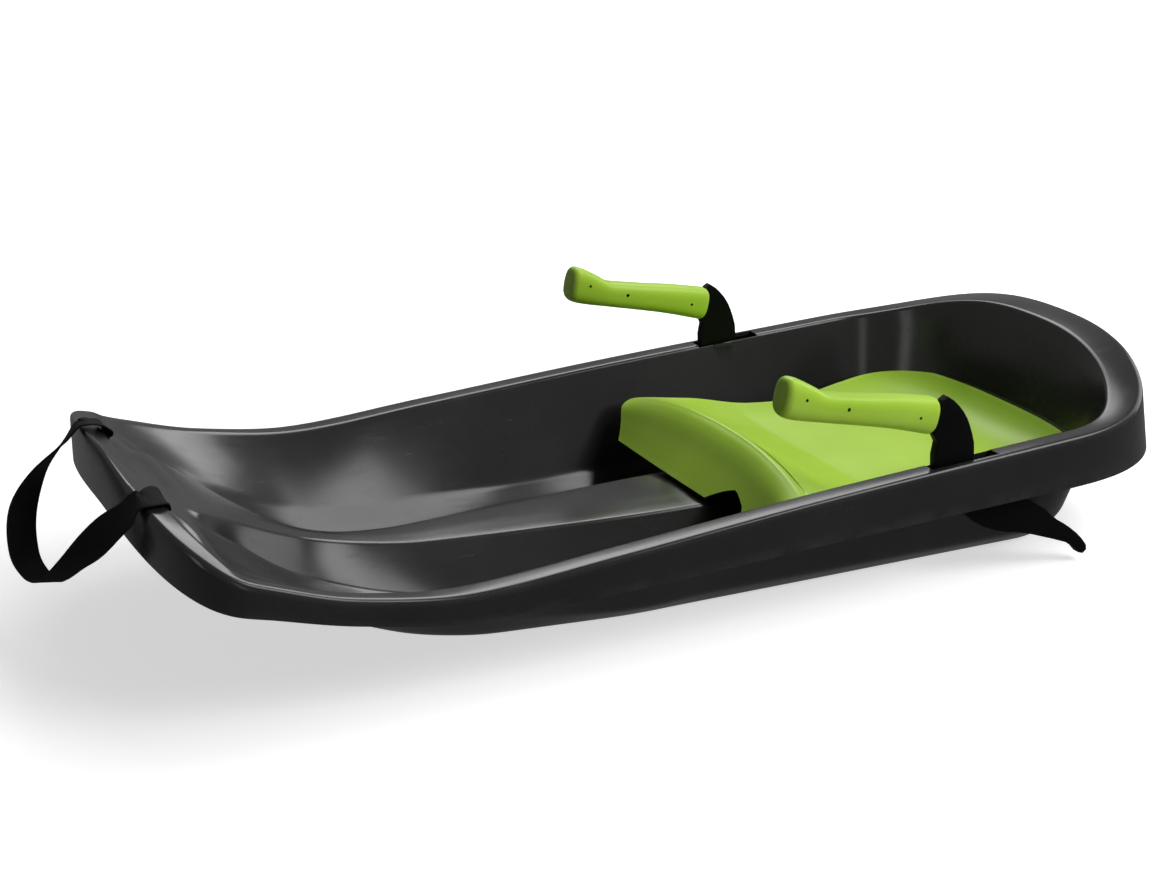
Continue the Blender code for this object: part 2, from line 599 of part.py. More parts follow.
def build_seat(collection, cutters, mat):
    """A moulded shell: an apron in front of an arched crest, the pan, and a lip round the back."""
    columns = []
    groove = [SEAT_GROOVE_SETBACK + side * SEAT_GROOVE_HALF_WIDTH for side in (-1, 0, 1)]
    for distance in sorted([share * SEAT_LENGTH for share in SEAT_COLUMNS] + groove):
        share = distance / SEAT_LENGTH
        ze = float(smooth_curve(SEAT_EDGE_HEIGHT, share))
        ye = WIDTH * float(smooth_curve(SEAT_EDGE_HALF_WIDTH, share))
        zc = seat_profile(distance)
        bow = SEAT_CREST_BOW * float(smooth_curve(((0, 0), (SEAT_BOW_CREST, 1), (SEAT_BOW_END, 0)), share))
        power = 2.0 + 2.0 * min(share / SEAT_FLAT_FROM, 1)
        column = []
        for w in SEAT_ROWS:
            z = zc + (ze - zc) * (1 - w) ** power
            column.append((SEAT_FRONT_X - distance + bow * (1 - w) ** 2, ye * (1 - w), z))
        columns.append(column)
    ze0, ye0 = SEAT_EDGE_HEIGHT[-1][1], WIDTH * SEAT_EDGE_HALF_WIDTH[-1][1]
    zc = seat_profile(SEAT_LENGTH)
    for i in range(SEAT_BACK_COLUMNS + 1):
        turn = i / SEAT_BACK_COLUMNS
        section = rear_section(turn)
        foot, top = section[3], section[2]
        ze = ze0 + (SEAT_LIP_HEIGHT - ze0) * min(turn * SEAT_LIP_RISE_TURN, 1)
        wall = foot + (top - foot) * (ze - SEAT_SHELL - foot[2]) / (top[2] - foot[2])
        meet = (1 - min(turn * SEAT_WALL_MEET_TURN, 1)) ** 2
        inset = SEAT_WALL_GAP + (inner_wall_y(REAR_X, ze0) - ye0 - SEAT_WALL_GAP) * meet
        inward = np.array([wall[0] - REAR_X, wall[1]])
        inward /= np.linalg.norm(inward)
        edge = np.array([wall[0] - inward[0] * inset, wall[1] - inward[1] * inset])
        spine = section[7]
        column = []
        for w in SEAT_ROWS:
            x = edge[0] + (spine[0] - edge[0]) * w
            y = edge[1] * (1 - w)
            column.append((x, y, zc + (ze - zc) * (1 - w) ** 4))
        columns.append(column)
    seat = add_object("seat", grid_mesh("seat", columns), collection, mat)
    mirror_and_thicken(seat, SEAT_SHELL, -1)
    notch = curve_solid("seat notch", SEAT_NOTCH, SEAT_CREST_SETBACK, cutters, None, SEAT_FRONT_X, 0, 0)
    notch.rotation_euler = (0, 0, pi / 2)
    hide_cutter(notch)
    boolean(seat, notch, "DIFFERENCE")
    smooth_shade(seat.data)
    return seat


def strap_route():
    """The strap's middle line: up through one slot, over the lip, round in front, and back."""
    slot_x, slot_z = strap_slot_place()
    lift = STRAP_THICKNESS / 2 + STRAP_LIFT
    ends = []
    for sign, crest_y, lip_y in zip((-1, 1), STRAP_CREST_Y, STRAP_LIP_Y):
        crest, lip = nose_guide_at(1, abs(crest_y)), nose_guide_at(2, abs(lip_y))
        ends.append([(slot_x, sign * STRAP_Y, slot_z - STRAP_TAIL), (slot_x, sign * STRAP_Y, slot_z),
                     (slot_x - 0.0005, sign * STRAP_Y, lip[2] - 0.003),
                     (lip[0] + 0.002, lip_y, lip[2] + lift + 0.0030),
                     (crest[0] - 0.008, crest_y, crest[2] + lift - 0.001),
                     (crest[0] + 0.001, crest_y, crest[2] - 0.002 + lift)])
    loop = [(HALF_LENGTH + ahead, y, z) for ahead, y, z in STRAP_LOOP]
    return ends[0] + loop + ends[1][::-1]


def build_strap(collection, mat):
    """Flat webbing, twisted a quarter turn between each slot and the front of its loop."""
    route = [Vector(p) for p in strap_route()]
    points = []
    for i in range(len(route) - 1):
        a, b = route[max(i - 1, 0)], route[min(i + 2, len(route) - 1)]
        p, q = route[i], route[i + 1]
        count = max(2, round((q - p).length / STRAP_STEP))
        ta = (q - a) * (p - q).length / max((p - a).length + (p - q).length, WELD)
        tb = (b - p) * (p - q).length / max((b - q).length + (p - q).length, WELD)
        for k in range(count):
            t = k / count
            points.append(p * (1 + 2 * t) * (1 - t) ** 2 + q * t * t * (3 - 2 * t)
                          + ta * t * (1 - t) ** 2 - tb * t * t * (1 - t))
    points.append(route[-1])
    reach = [0.0]
    for a, b in zip(points, points[1:]):
        reach.append(reach[-1] + (b - a).length)
    total = reach[-1]
    front = Vector(STRAP_FRONT_FACING).normalized()
    bm = bmesh.new()
    rings = []
    for i, p in enumerate(points):
        ahead = (points[min(i + 1, len(points) - 1)] - points[max(i - 1, 0)]).normalized()
        way = reach[i] / total
        near_end = min(reach[i], total - reach[i])
        turn = min(max((near_end - STRAP_FLAT_RUN) / (total * STRAP_TURNED_BY - STRAP_FLAT_RUN), 0), 1)
        turn = turn * turn * (3 - 2 * turn) * pi / 2
        side = Vector((0, 1 if way < 0.5 else -1, STRAP_SIDE_SLOPE)).normalized()
        across = side * cos(turn) + front * sin(turn)
        across = (across - ahead * across.dot(ahead)).normalized()
        normal = ahead.cross(across)
        fold = 1 - min(max((near_end - STRAP_FOLD_LENGTH) / 0.002, 0), 1)
        thick = (STRAP_THICKNESS + (STRAP_FOLD_THICKNESS - STRAP_THICKNESS) * fold) / 2
        rings.append([bm.verts.new(p + across * a * STRAP_WIDTH / 2 + normal * b * thick)
                      for a, b in ((-1, -1), (1, -1), (1, 1), (-1, 1))])
    for a, b in zip(rings, rings[1:]):
        for j in range(4):
            k = (j + 1) % 4
            bm.faces.new((a[j], a[k], b[k], b[j]))
    bm.faces.new(rings[0][::-1])
    bm.faces.new(rings[-1])
    bmesh.ops.recalc_face_normals(bm, faces=bm.faces)
    mesh = bpy.data.meshes.new("pull_strap")
    bm.to_mesh(mesh)
    bm.free()
    add_object("pull_strap", mesh, collection, mat)


def main():
    for obj in list(bpy.data.objects):
        bpy.data.objects.remove(obj)
    sled = bpy.data.collections.new("sled")
    cutters = bpy.data.collections.new("cutters")
    bpy.context.scene.collection.children.link(sled)
    bpy.context.scene.collection.children.link(cutters)
    mats = {"hull": material("hull plastic", (0.022, 0.022, 0.023), 0.35),
            "lime": material("lime plastic", (0.34, 0.56, 0.05), 0.4),
            "black": material("black plastic", (0.010, 0.010, 0.010), 0.5),
            "steel": material("steel", (0.6, 0.6, 0.6), 0.35, 1.0),
            "webbing": material("webbing", (0.008, 0.008, 0.008), 0.9)}
    build_hull(sled, cutters, mats["hull"])
    build_seat(sled, cutters, mats["lime"])
    build_strap(sled, mats["webbing"])
    for side, sign in (("left", 1), ("right", -1)):
        build_lever(side, sign, sled, cutters, mats)


main()
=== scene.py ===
"""Looks of the snow sled: fine-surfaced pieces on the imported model, materials, studio and camera.

Everything is in metres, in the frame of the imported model: +X forward, +Y to the rider's left,
+Z up, with the runners on the floor at Z = 0. The hull, seat, grips and levers follow the same
driving sizes as the solids that they stand for, with finer steps along their curves.
"""

import json
from math import cos, pi, radians, sin, sqrt

import bmesh
import bpy
import numpy as np
from mathutils import Matrix, Vector

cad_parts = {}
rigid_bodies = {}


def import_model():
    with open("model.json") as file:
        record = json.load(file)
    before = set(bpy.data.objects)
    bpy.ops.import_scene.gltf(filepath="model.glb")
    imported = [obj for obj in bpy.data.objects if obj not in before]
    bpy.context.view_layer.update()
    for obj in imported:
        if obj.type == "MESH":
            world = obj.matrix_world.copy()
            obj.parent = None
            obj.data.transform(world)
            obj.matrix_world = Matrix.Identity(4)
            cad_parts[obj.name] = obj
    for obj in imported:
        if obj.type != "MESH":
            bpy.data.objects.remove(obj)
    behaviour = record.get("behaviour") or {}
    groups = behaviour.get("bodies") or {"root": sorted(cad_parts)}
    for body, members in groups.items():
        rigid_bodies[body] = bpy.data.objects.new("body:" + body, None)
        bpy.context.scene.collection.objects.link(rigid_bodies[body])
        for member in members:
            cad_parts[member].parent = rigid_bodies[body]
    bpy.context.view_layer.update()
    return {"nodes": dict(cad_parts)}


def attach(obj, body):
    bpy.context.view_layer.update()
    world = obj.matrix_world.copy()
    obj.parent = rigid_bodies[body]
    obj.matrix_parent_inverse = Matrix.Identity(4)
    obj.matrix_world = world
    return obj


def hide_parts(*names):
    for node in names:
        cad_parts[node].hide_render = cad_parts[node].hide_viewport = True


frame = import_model()

# Camera, at the photograph's viewing angle
CAMERA_PLACE = (0.834, 1.5784, 0.7341)
CAMERA_YAW = radians(63.75)
CAMERA_PITCH = radians(19.33)
CAMERA_LENS = 63.09
CAMERA_SENSOR = 36.0

# Pull strap: its middle line, width, thickness and weave
STRAP_ROUTE = (
    (0.4684, -0.095, 0.1146), (0.4684, -0.095, 0.1456), (0.4679, -0.095, 0.1598),
    (0.4743, -0.087, 0.1677), (0.4866, -0.073, 0.1755), (0.4956, -0.073, 0.1745),
    (0.506, -0.078, 0.161), (0.529, -0.081, 0.1355), (0.5475, -0.0715, 0.1055),
    (0.554, -0.045, 0.079), (0.5505, -0.015, 0.0695), (0.545, 0.005, 0.0715),
    (0.5315, 0.0484, 0.1025), (0.512, 0.08, 0.1366), (0.5008, 0.097, 0.1528),
    (0.4928, 0.111, 0.1684), (0.4838, 0.111, 0.1694), (0.4734, 0.102, 0.1666),
    (0.4679, 0.095, 0.1587), (0.4684, 0.095, 0.1456), (0.4684, 0.095, 0.1146))
STRAP_WIDTH = 0.025
STRAP_THICKNESS = 0.0019
STRAP_FLAT_RUN = 0.070
STRAP_TURNED_BY = 0.42
STRAP_SIDE_SLOPE = 0.14
STRAP_FRONT_FACING = (0.99, 0, 0.15)
STRAP_FOLD_LENGTH = 0.008
STRAP_FOLD_THICKNESS = 0.0056
STRAP_FOLD_FADE = 0.002
RIB_PITCH = 0.0020
RIB_DEPTH = 0.00022
RIB_SAMPLES = 4
WARP_THREADS = 48
ACROSS_STEPS = 12
EDGE_ROLL = 0.12
EDGE_THINNEST = 0.25
EDGE_CROWDING = 0.35
SELVEDGE_FROM = 0.86
TURN_SPAN = 4

# Hull in plan
LENGTH = 0.992
WIDTH = 0.456
NOSE_LENGTH = 0.061
REAR_LENGTH = 0.156
REAR_FLARE = 0.014
SIDE_FLARE = 0.002
NOSE_FULLNESS = 2.6
REAR_FULLNESS = 2.5
HULL_SHELL = 0.004

# Guide curves of the side, by the share of the way from the rear bend to the nose bend:
# half widths are shares of the sled's width, the rest is in metres
RIM_HALF_WIDTH = ((0, 0.4857), (0.34, 0.4923), (0.7, 0.5), (0.9, 0.4945), (1, 0.4803))
RIM_HEIGHT = ((0, 0.128), (0.34, 0.1145), (0.6, 0.1005), (0.77, 0.092), (0.895, 0.1045), (1, 0.129))
SKIRT_HEIGHT = ((0, 0.0815), (0.34, 0.075), (0.6, 0.070), (0.77, 0.0695), (0.895, 0.0835), (1, 0.103))
FLAT_WIDTH = ((0, 0.022), (0.7, 0.024), (0.9, 0.016), (1, 0.014))
FOOT_HALF_WIDTH = ((0, 0.3618), (0.5, 0.3399), (0.67, 0.3092), (0.8, 0.2851), (0.9, 0.2961),
                   (1, 0.3684))
FOOT_HEIGHT = ((0, 0.022), (0.42, 0.022), (0.67, 0.033), (0.8, 0.046), (0.9, 0.078), (1, 0.124))
FLOOR_HALF_WIDTH = ((0, 0.307), (0.5, 0.2961), (0.67, 0.2675), (0.8, 0.2412), (0.9, 0.2412), (1, 0.2961))
FLOOR_RISE = ((0, 0), (0.70, 0), (0.75, 0.004), (0.79, 0.011), (0.82, 0.020), (0.853, 0.031),
              (0.904, 0.055), (1, 0.117))
CREASE_HALF_WIDTH = ((0, 0.1645), (0.6, 0.1491), (0.72, 0.1272), (0.85, 0.1075), (0.95, 0.1280),
                     (1, 0.2100))
CREASE_RISE = ((0, 0), (0.5, 0), (0.7, 0.012), (0.795, 0.026), (0.853, 0.041), (0.904, 0.061), (1, 0.124))
DECK_HALF_WIDTH = ((0, 0.1096), (0.38, 0.1031), (0.6, 0.0746), (0.72, 0.0526), (0.84, 0.0285),
                   (0.93, 0.0740), (1, 0.1720))
DECK_HEIGHT = ((0, 0.053), (0.4, 0.053), (0.72, 0.055), (0.795, 0.061), (0.853, 0.072),
               (0.904, 0.090), (1, 0.138))
DECK_CROWN = 0.001

# Nose, from its bend to the middle: how far forward and how high each guide ends
NOSE_RIM_HEIGHT = 0.182
NOSE_SKIRT_HEIGHT = 0.128
NOSE_LIP_WIDTH = 0.022
NOSE_LIP_FALL = 0.017
NOSE_STEP = 0.016
NOSE_SWEEP = 1.05
NOSE_LIP_SWEEP = 1.8
NOSE_RAMP_SWEEP = 4.5
NOSE_GUIDE_SPACING = 0.005
NOSE_GUIDES_BACK = (0, 0, 0, 1.0, 2.0, 3.0, 4.2, 5.4)
NOSE_GUIDES_DOWN = (0, 0.003, 0.005, 0.007, 0.009)

# Rear, from its bend to the middle
REAR_RIM_SLOPE = 0.049
REAR_RIM_KICK = 0.039
REAR_KICK_POWER = 3.4
REAR_SKIRT_HEIGHT = 0.088
REAR_FLAT_WIDTH = 0.039
REAR_RIM_FALL = 0.002
REAR_FOOT_LENGTH = 0.084
REAR_FOOT_HEIGHT = 0.040
REAR_FLOOR_LENGTH = 0.072
REAR_CREASE_LENGTH = 0.046
REAR_DECK_LENGTH = 0.028
REAR_SPINE_LENGTH = 0.012

# Where the nose and the rear bends begin
HALF_LENGTH = LENGTH / 2
NOSE_X = HALF_LENGTH - NOSE_LENGTH
REAR_X = -HALF_LENGTH + REAR_FLARE + REAR_LENGTH

# Rounding of the rim, and the largest share of a stretch that any rounding takes
RIM_ROUND = 0.006
FLAT_ROUND = 0.004
ROUND_SHARE = 0.42

# Seat
SEAT_SHELL = 0.0035
SEAT_LENGTH = 0.282
SEAT_FRONT_X = REAR_X + SEAT_LENGTH
SEAT_CREST_SETBACK = 0.046
SEAT_CREST_HEIGHT = 0.105
SEAT_PAN_LENGTH = 0.105
SEAT_APRON_RISE = ((0, 0), (0.45, 0.48), (0.82, 0.89), (1, 1))
SEAT_PAN_FALL = ((0.105, 0.915), (0.305, 0.64), (0.571, 0.276), (1, 0))
SEAT_FLAT_FROM = 0.42
SEAT_DISH_FRONT = 2.0
SEAT_DISH_BACK = 4.0
SEAT_LIP_RISE_TURN = 1.6
SEAT_WALL_MEET_TURN = 2.2
SEAT_CREST_BOW = 0.016
SEAT_BOW_CREST = 0.17
SEAT_BOW_END = 0.75
SEAT_EDGE_HALF_WIDTH = ((0, 0.2785), (0.067, 0.314), (0.12, 0.346), (0.18, 0.356), (0.30, 0.346),
                        (0.61, 0.3421), (1, 0.3662))
SEAT_EDGE_HEIGHT = ((0, 0.0600), (0.067, 0.0740), (0.12, 0.0850), (0.185, 0.0885), (0.372, 0.0820),
                    (0.61, 0.0660), (0.787, 0.0620), (1, 0.0690))
SEAT_PAN_SHARE = 0.887
SEAT_FOOT_STEP = 0.001
SEAT_NOTCH = ((0.040, 0.050), (0.0437, 0.0565), (0.0475, 0.0601), (0.0608, 0.0678), (0.0694, 0.0717),
              (0.0778, 0.0746), (0.0837, 0.0738), (0.0932, 0.0708), (0.102, 0.0676), (0.108, 0.062),
              (0.112, 0.050))
SEAT_LIP_HEIGHT = 0.085
SEAT_WALL_GAP = 0.0048

# Bead along the seat's crest and the fine groove behind it, measured back from the front edge
BEAD_MIDDLE = 0.0500
BEAD_HALF_WIDTH = 0.0042
BEAD_RISE = 0.0017
GROOVE_MIDDLE = 0.0560
GROOVE_HALF_WIDTH = 0.0011
GROOVE_CUT = 0.0026
GROOVE_SHAPE = 0.7

# Brake levers
PIVOT_FROM_REAR = 0.123
PIVOT_X = REAR_X + PIVOT_FROM_REAR
PIVOT_HEIGHT = 0.093
LEVER_FROM_RIM = 0.0205
LEVER_Y = WIDTH / 2 - LEVER_FROM_RIM
LEVER_THICKNESS = 0.009
LEVER_REACH = 0.155
PIN_RADIUS = 0.004
PIN_PLAY = 0.0005
BOSS_RADIUS = 0.010
BOSS_GAP = 0.001
SLOT_SIDE_GAP = 0.0030
SLOT_FRONT_GAP = 0.004
SLOT_LENGTH = 0.070
SLOT_REACH = 0.020
SLOT_UNDERCUT = 0.010
NECK_FRONT = 0.024
NECK_RISES = (0.245, 0.32)
NECK_LEAN = 0.002
CORNER_CUT = 0.25
EAR_THICKNESS = 0.004
PIN_START = LEVER_Y - LEVER_THICKNESS / 2 - BOSS_GAP - EAR_THICKNESS
LEVER_CORNER = 0.0009
LEVER_CORNER_STEPS = 3
LEVER_RIM_ANGLE = radians(60)

# Grips
GRIP_LENGTH = 0.160
GRIP_WIDTH = 0.028
GRIP_INSET = 0.006
GRIP_TIP = (0.1787, 0.1081)
GRIP_TILT = radians(13.1)
GRIP_HEIGHTS = ((0, 0.0334), (0.244, 0.0300), (0.506, 0.0268), (0.73, 0.0256), (0.80, 0.0292),
                (0.869, 0.0327), (0.9375, 0.0350), (1, 0.0340))
GRIP_RISES = ((0, 0.0006), (0.244, 0.0010), (0.506, -0.0003), (0.73, -0.0013), (0.80, 0.0002),
              (0.869, 0.0019), (0.9375, 0.0035), (1, 0.0048))
GRIP_CORNER = 0.006
GRIP_SQUARENESS = 2.7

# Mould holes in the grips: how far behind the tip, how far up, and their radius
GRIP_HOLES = ((0.018, 0.0060, 0.0014), (0.062, 0.0015, 0.0017), (0.138, 0.0002, 0.0014))
GRIP_HOLE_DEPTH = 0.0052
GRIP_HOLE_SIDES = 16

# What the grip is pushed over, and the neck behind it
CORE_HEIGHT = 0.012
CORE_LENGTH = 0.138
SOCKET_OVERRUN = 0.020
NECK_ABOVE = 0.0165
NECK_BELOW = 0.0150

# Floor and surround: how bright they look to the camera, to glossy rays and to matt surfaces
FLOOR_RADIUS = 9.0
FLOOR_GLOW_NEAR = 0.62
FLOOR_GLOW_FROM = 0.5
FLOOR_GLOW_TO = 2.2
FLOOR_IN_GLOSS = 0.15
WORLD_GLOSS = 0.26
WORLD_DIFFUSE = 0.055

# Lamps, aimed at the sled's middle: compass angle, height angle, size, power in watts, and whether
# they show in gloss only, in matt only or in both
LAMP_DISTANCE = 2.6
LAMP_AIM_HEIGHT = 0.1
LAMPS = (("side_panel", 163, 54, (1.4, 1.0), 20, "both"),
         ("key", 122, 41, (1.3, 1.3), 38, "matt"),
         ("overhead", -150, 72, (1.1, 1.1), 10, "matt"),
         ("back_panel", -118, 42, (1.5, 1.2), 21, "both"),
         ("rear_panel", -170, 18, (1.3, 1.6), 10, "both"),
         ("strip_left", 78, 20, (0.5, 1.6), 2.3, "gloss"),
         ("strip_front", 4, 18, (0.5, 1.6), 3.2, "gloss"))

# Small clearances, and how often a search is halved
GAP = 0.0003
WELD = 0.00005
CLEAN = WELD / 5
HALVINGS = 40
FACET_MERGE = 0.00001

# Painted shade in small holes, grooves and tight corners, found by an occlusion test: how far the test
# looks, the shade's colour, and how much of it is mixed in
HOLLOW_SHADE_REACH = 0.004
HOLLOW_PAINTED_SHADE = (0.010, 0.012, 0.006)
HOLLOW_SHADE_SHARE = 0.85

# Colours of each plastic: its darker and lighter clouds, and its rubbed edges
HULL_COLOURS = ((0.0115, 0.0115, 0.0117), (0.0165, 0.0165, 0.0167), (0.040, 0.040, 0.041))
LIME_COLOURS = ((0.33, 0.545, 0.033), (0.385, 0.605, 0.046), (0.55, 0.76, 0.15))
BLACK_COLOURS = ((0.0016, 0.0018, 0.0017), (0.0026, 0.0030, 0.0028), (0.012, 0.012, 0.012))

# Moulded plastic: how many clouds, scuffs, worn stretches, grains, ripples and dimples lie along a
# metre, what they do to the gloss, and how deep they are
CLOUD_SCALE = 9.0
SCUFF_SCALE = 60.0
SCUFF_STRETCH = (0.25, 1.6, 1.6)
WEAR_SCALE = 35.0
RIPPLE_SCALE = 11.0
DIMPLE_SCALE = 140.0
ROUGHNESS_SPREAD = 0.025
SCUFF_ROUGHNESS = 0.07
WEAR_SHARE = 0.5
GRAIN_SCALE = 2600.0
GRAIN_DEPTH = 0.00006
RIPPLE_DEPTH = 0.0010
DIMPLE_DEPTH = 0.0002

# Angle past which neighbouring faces keep a sharp edge, on the pieces and on the grips
SHARP_FROM = 32
GRIP_SHARP_FROM = 40

# The tub's inner creases, crisper than in the solids, and a fuller foot of the front walls: how far
# it moves, and the stretch of the length along which it does
CRISP_FOOT = 0.005
CRISP_FLOOR = 0.010
CRISP_CREASE = 0.003
CRISP_DECK = 0.0035
FOOT_FULLER = (0, 0.0050, -0.0052)
FOOT_FADE = 0.1
FOOT_FRONT = 0.33

# How finely the pieces are stepped
NOSE_SAMPLES = 200
SIDE_SAMPLES = 300
REAR_SAMPLES = 200
HULL_STEP = 0.006
HULL_EASE = 0.010
HULL_EASE_REACH = 3
CORNER_STEPS = 5
STRAIGHT_STEPS = (3, 2, 6, 2, 4, 3, 3)
SEAT_STEP = 0.004
SEAT_ACROSS = 30
SEAT_BACK_STEPS = 40
GROOVE_STEP = 0.0005
GRIP_STEP = 0.003
GRIP_AROUND = 48
GRIP_CORNER_STEPS = 8
ROUTE_STEPS = 12
PATH_STEP = 0.004

# Slots in the nose that the strap goes down through
STRAP_SLOT_LENGTH = 0.0285
STRAP_SLOT_WIDTH = 0.007
STRAP_SLOT_DEPTH = 0.028
STRAP_Y = 0.095


def spline(route, steps):
    """Points along a smooth curve through the route, with the given number of steps a stretch."""
    points = []
    for i in range(len(route) - 1):
        a, b = route[max(i - 1, 0)], route[min(i + 2, len(route) - 1)]
        p, q = route[i], route[i + 1]
        here = (p - q).length
        ta = (q - a) * here / ((p - a).length + here)
        tb = (b - p) * here / ((b - q).length + here)
        for k in range(steps):
            t = k / steps
            points.append(p * (1 + 2 * t) * (1 - t) ** 2 + q * t * t * (3 - 2 * t)
                          + ta * t * (1 - t) ** 2 - tb * t * t * (1 - t))
    points.append(route[-1])
    return points


def evenly(points, spacing):
    """The same line with evenly spaced points, and its length."""
    reach = [0.0]
    for a, b in zip(points, points[1:]):
        reach.append(reach[-1] + (b - a).length)
    count = round(reach[-1] / spacing)
    out, i = [], 0
    for k in range(count + 1):
        want = reach[-1] * k / count
        while i < len(points) - 2 and reach[i + 1] < want:
            i += 1
        t = (want - reach[i]) / (reach[i + 1] - reach[i])
        out.append(points[i].lerp(points[i + 1], t))
    return out, reach[-1]


def add_object(name, data, material=None, collection=None):
    """A new object of a mesh, curve, lamp or camera, in the scene's own collection or another."""
    obj = bpy.data.objects.new(name, data)
    if collection is None:
        collection = bpy.context.scene.collection
    collection.objects.link(obj)
    if material:
        data.materials.append(material)
    return obj


def mesh_from(bm, name):
    """The bmesh as a named mesh."""
    mesh = bpy.data.meshes.new(name)
    bm.to_mesh(mesh)
    bm.free()
    return mesh


def smooth_step(t):
    t = min(max(t, 0.0), 1.0)
    return t * t * (3 - 2 * t)


def strap_across(ahead, reach, total):
    """The direction of the strap's width at a place along it."""
    near_end = min(reach, total - reach)
    turn = smooth_step((near_end - STRAP_FLAT_RUN) / (total * STRAP_TURNED_BY - STRAP_FLAT_RUN)) * pi / 2
    side = Vector((0, 1 if reach < total / 2 else -1, STRAP_SIDE_SLOPE)).normalized()
    across = side * cos(turn) + Vector(STRAP_FRONT_FACING).normalized() * sin(turn)
    return (across - ahead * across.dot(ahead)).normalized()


def build_strap(material):
    """Woven webbing with a ribbed face, rolled selvedges and a thicker, folded hem at each end."""
    line, total = evenly(spline([Vector(p) for p in STRAP_ROUTE], ROUTE_STEPS), RIB_PITCH / RIB_SAMPLES)
    bm = bmesh.new()
    uv = bm.loops.layers.uv.new("along")
    rings = []
    for i, p in enumerate(line):
        ahead = (line[min(i + TURN_SPAN, len(line) - 1)] - line[max(i - TURN_SPAN, 0)]).normalized()
        reach = total * i / (len(line) - 1)
        across = strap_across(ahead, reach, total)
        normal = ahead.cross(across)
        near_end = min(reach, total - reach)
        hem = 1 - smooth_step((near_end - STRAP_FOLD_LENGTH) / STRAP_FOLD_FADE)
        thick = (STRAP_THICKNESS + (STRAP_FOLD_THICKNESS - STRAP_THICKNESS) * hem) / 2
        rib = RIB_DEPTH * (0.5 - 0.5 * cos(2 * pi * reach / RIB_PITCH))
        top, bottom = [], []
        for j in range(ACROSS_STEPS + 1):
            v = 2 * j / ACROSS_STEPS - 1
            v = sin(v * pi / 2) * EDGE_CROWDING + v * (1 - EDGE_CROWDING)
            roll = sqrt(max(0.0, 1 - max(0.0, (abs(v) - (1 - EDGE_ROLL)) / EDGE_ROLL) ** 2))
            ribbed = thick - (0 if abs(v) > SELVEDGE_FROM else rib)
            half = ribbed * (EDGE_THINNEST + (1 - EDGE_THINNEST) * roll)
            half = max(thick * EDGE_THINNEST, half)
            here = p + across * v * STRAP_WIDTH / 2
            top.append(bm.verts.new(here + normal * half))
            bottom.append(bm.verts.new(here - normal * half))
        rings.append((top + bottom[::-1], reach))
    size = 2 * (ACROSS_STEPS + 1)
    for (a, ra), (b, rb) in zip(rings, rings[1:]):
        for j in range(size):
            k = (j + 1) % size
            face = bm.faces.new((a[j], a[k], b[k], b[j]))
            face.smooth = True
            for loop, (share, way) in zip(face.loops, ((j, ra), (j + 1, ra), (j + 1, rb), (j, rb))):
                loop[uv].uv = (share / size, way)
    bm.faces.new(rings[0][0][::-1])
    bm.faces.new(rings[-1][0])
    bmesh.ops.recalc_face_normals(bm, faces=bm.faces)
    strap = add_object("strap", mesh_from(bm, "strap"), material)
    path = evenly(spline([Vector(p) for p in STRAP_ROUTE], ROUTE_STEPS), PATH_STEP)[0]
    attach(strap, "sled")
    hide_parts("pull_strap")
    return strap


def camera():
    data = bpy.data.cameras.new("camera")
    data.lens = CAMERA_LENS
    data.sensor_width = CAMERA_SENSOR
    obj = add_object("camera", data)
    obj.location = CAMERA_PLACE
    look = Vector((-cos(CAMERA_YAW) * cos(CAMERA_PITCH), -sin(CAMERA_YAW) * cos(CAMERA_PITCH),
                   -sin(CAMERA_PITCH)))
    obj.rotation_mode = "QUATERNION"
    obj.rotation_quaternion = look.to_track_quat("-Z", "Y")
    bpy.context.scene.camera = obj


def smooth_curve(points, at):
    """A smooth curve through (position, value) points, without overshoot."""
    pos = np.array([p[0] for p in points], float)
    val = np.array([p[1] for p in points], float)
    step = np.diff(pos)
    slope = np.diff(val) / step
    tangent = np.zeros_like(val)
    tangent[0], tangent[-1] = slope[0], slope[-1]
    for i in range(1, len(val) - 1):
        if slope[i - 1] * slope[i] > 0:
            before, after = 2 * step[i] + step[i - 1], step[i] + 2 * step[i - 1]
            tangent[i] = (before + after) / (before / slope[i - 1] + after / slope[i])
    at = np.clip(at, pos[0], pos[-1])
    i = np.clip(np.searchsorted(pos, at, side="right") - 1, 0, len(step) - 1)
    t = (at - pos[i]) / step[i]
    return (val[i] * (1 + 2 * t) * (1 - t) ** 2 + val[i + 1] * t ** 2 * (3 - 2 * t)
            + step[i] * t * (1 - t) * (tangent[i] * (1 - t) - tangent[i + 1] * t))


def side_guide(share, half_width, height):
    x = REAR_X + (NOSE_X - REAR_X) * share
    return np.array([x, WIDTH * smooth_curve(half_width, share), height])


def side_section(share):
    """The eight guide points of the section at a share of the way along the side."""
    rim_y = WIDTH * smooth_curve(RIM_HALF_WIDTH, share)
    x = REAR_X + (NOSE_X - REAR_X) * share
    rim_z = smooth_curve(RIM_HEIGHT, share)
    deck_z = smooth_curve(DECK_HEIGHT, share)
    return np.array([
        (x, rim_y + SIDE_FLARE, smooth_curve(SKIRT_HEIGHT, share)),
        (x, rim_y, rim_z),
        (x, rim_y - smooth_curve(FLAT_WIDTH, share), rim_z),
        side_guide(share, FOOT_HALF_WIDTH, smooth_curve(FOOT_HEIGHT, share)),
        side_guide(share, FLOOR_HALF_WIDTH, HULL_SHELL + smooth_curve(FLOOR_RISE, share)),
        side_guide(share, CREASE_HALF_WIDTH, HULL_SHELL + smooth_curve(CREASE_RISE, share)),
        side_guide(share, DECK_HALF_WIDTH, deck_z),
        (x, 0, deck_z + DECK_CROWN)])


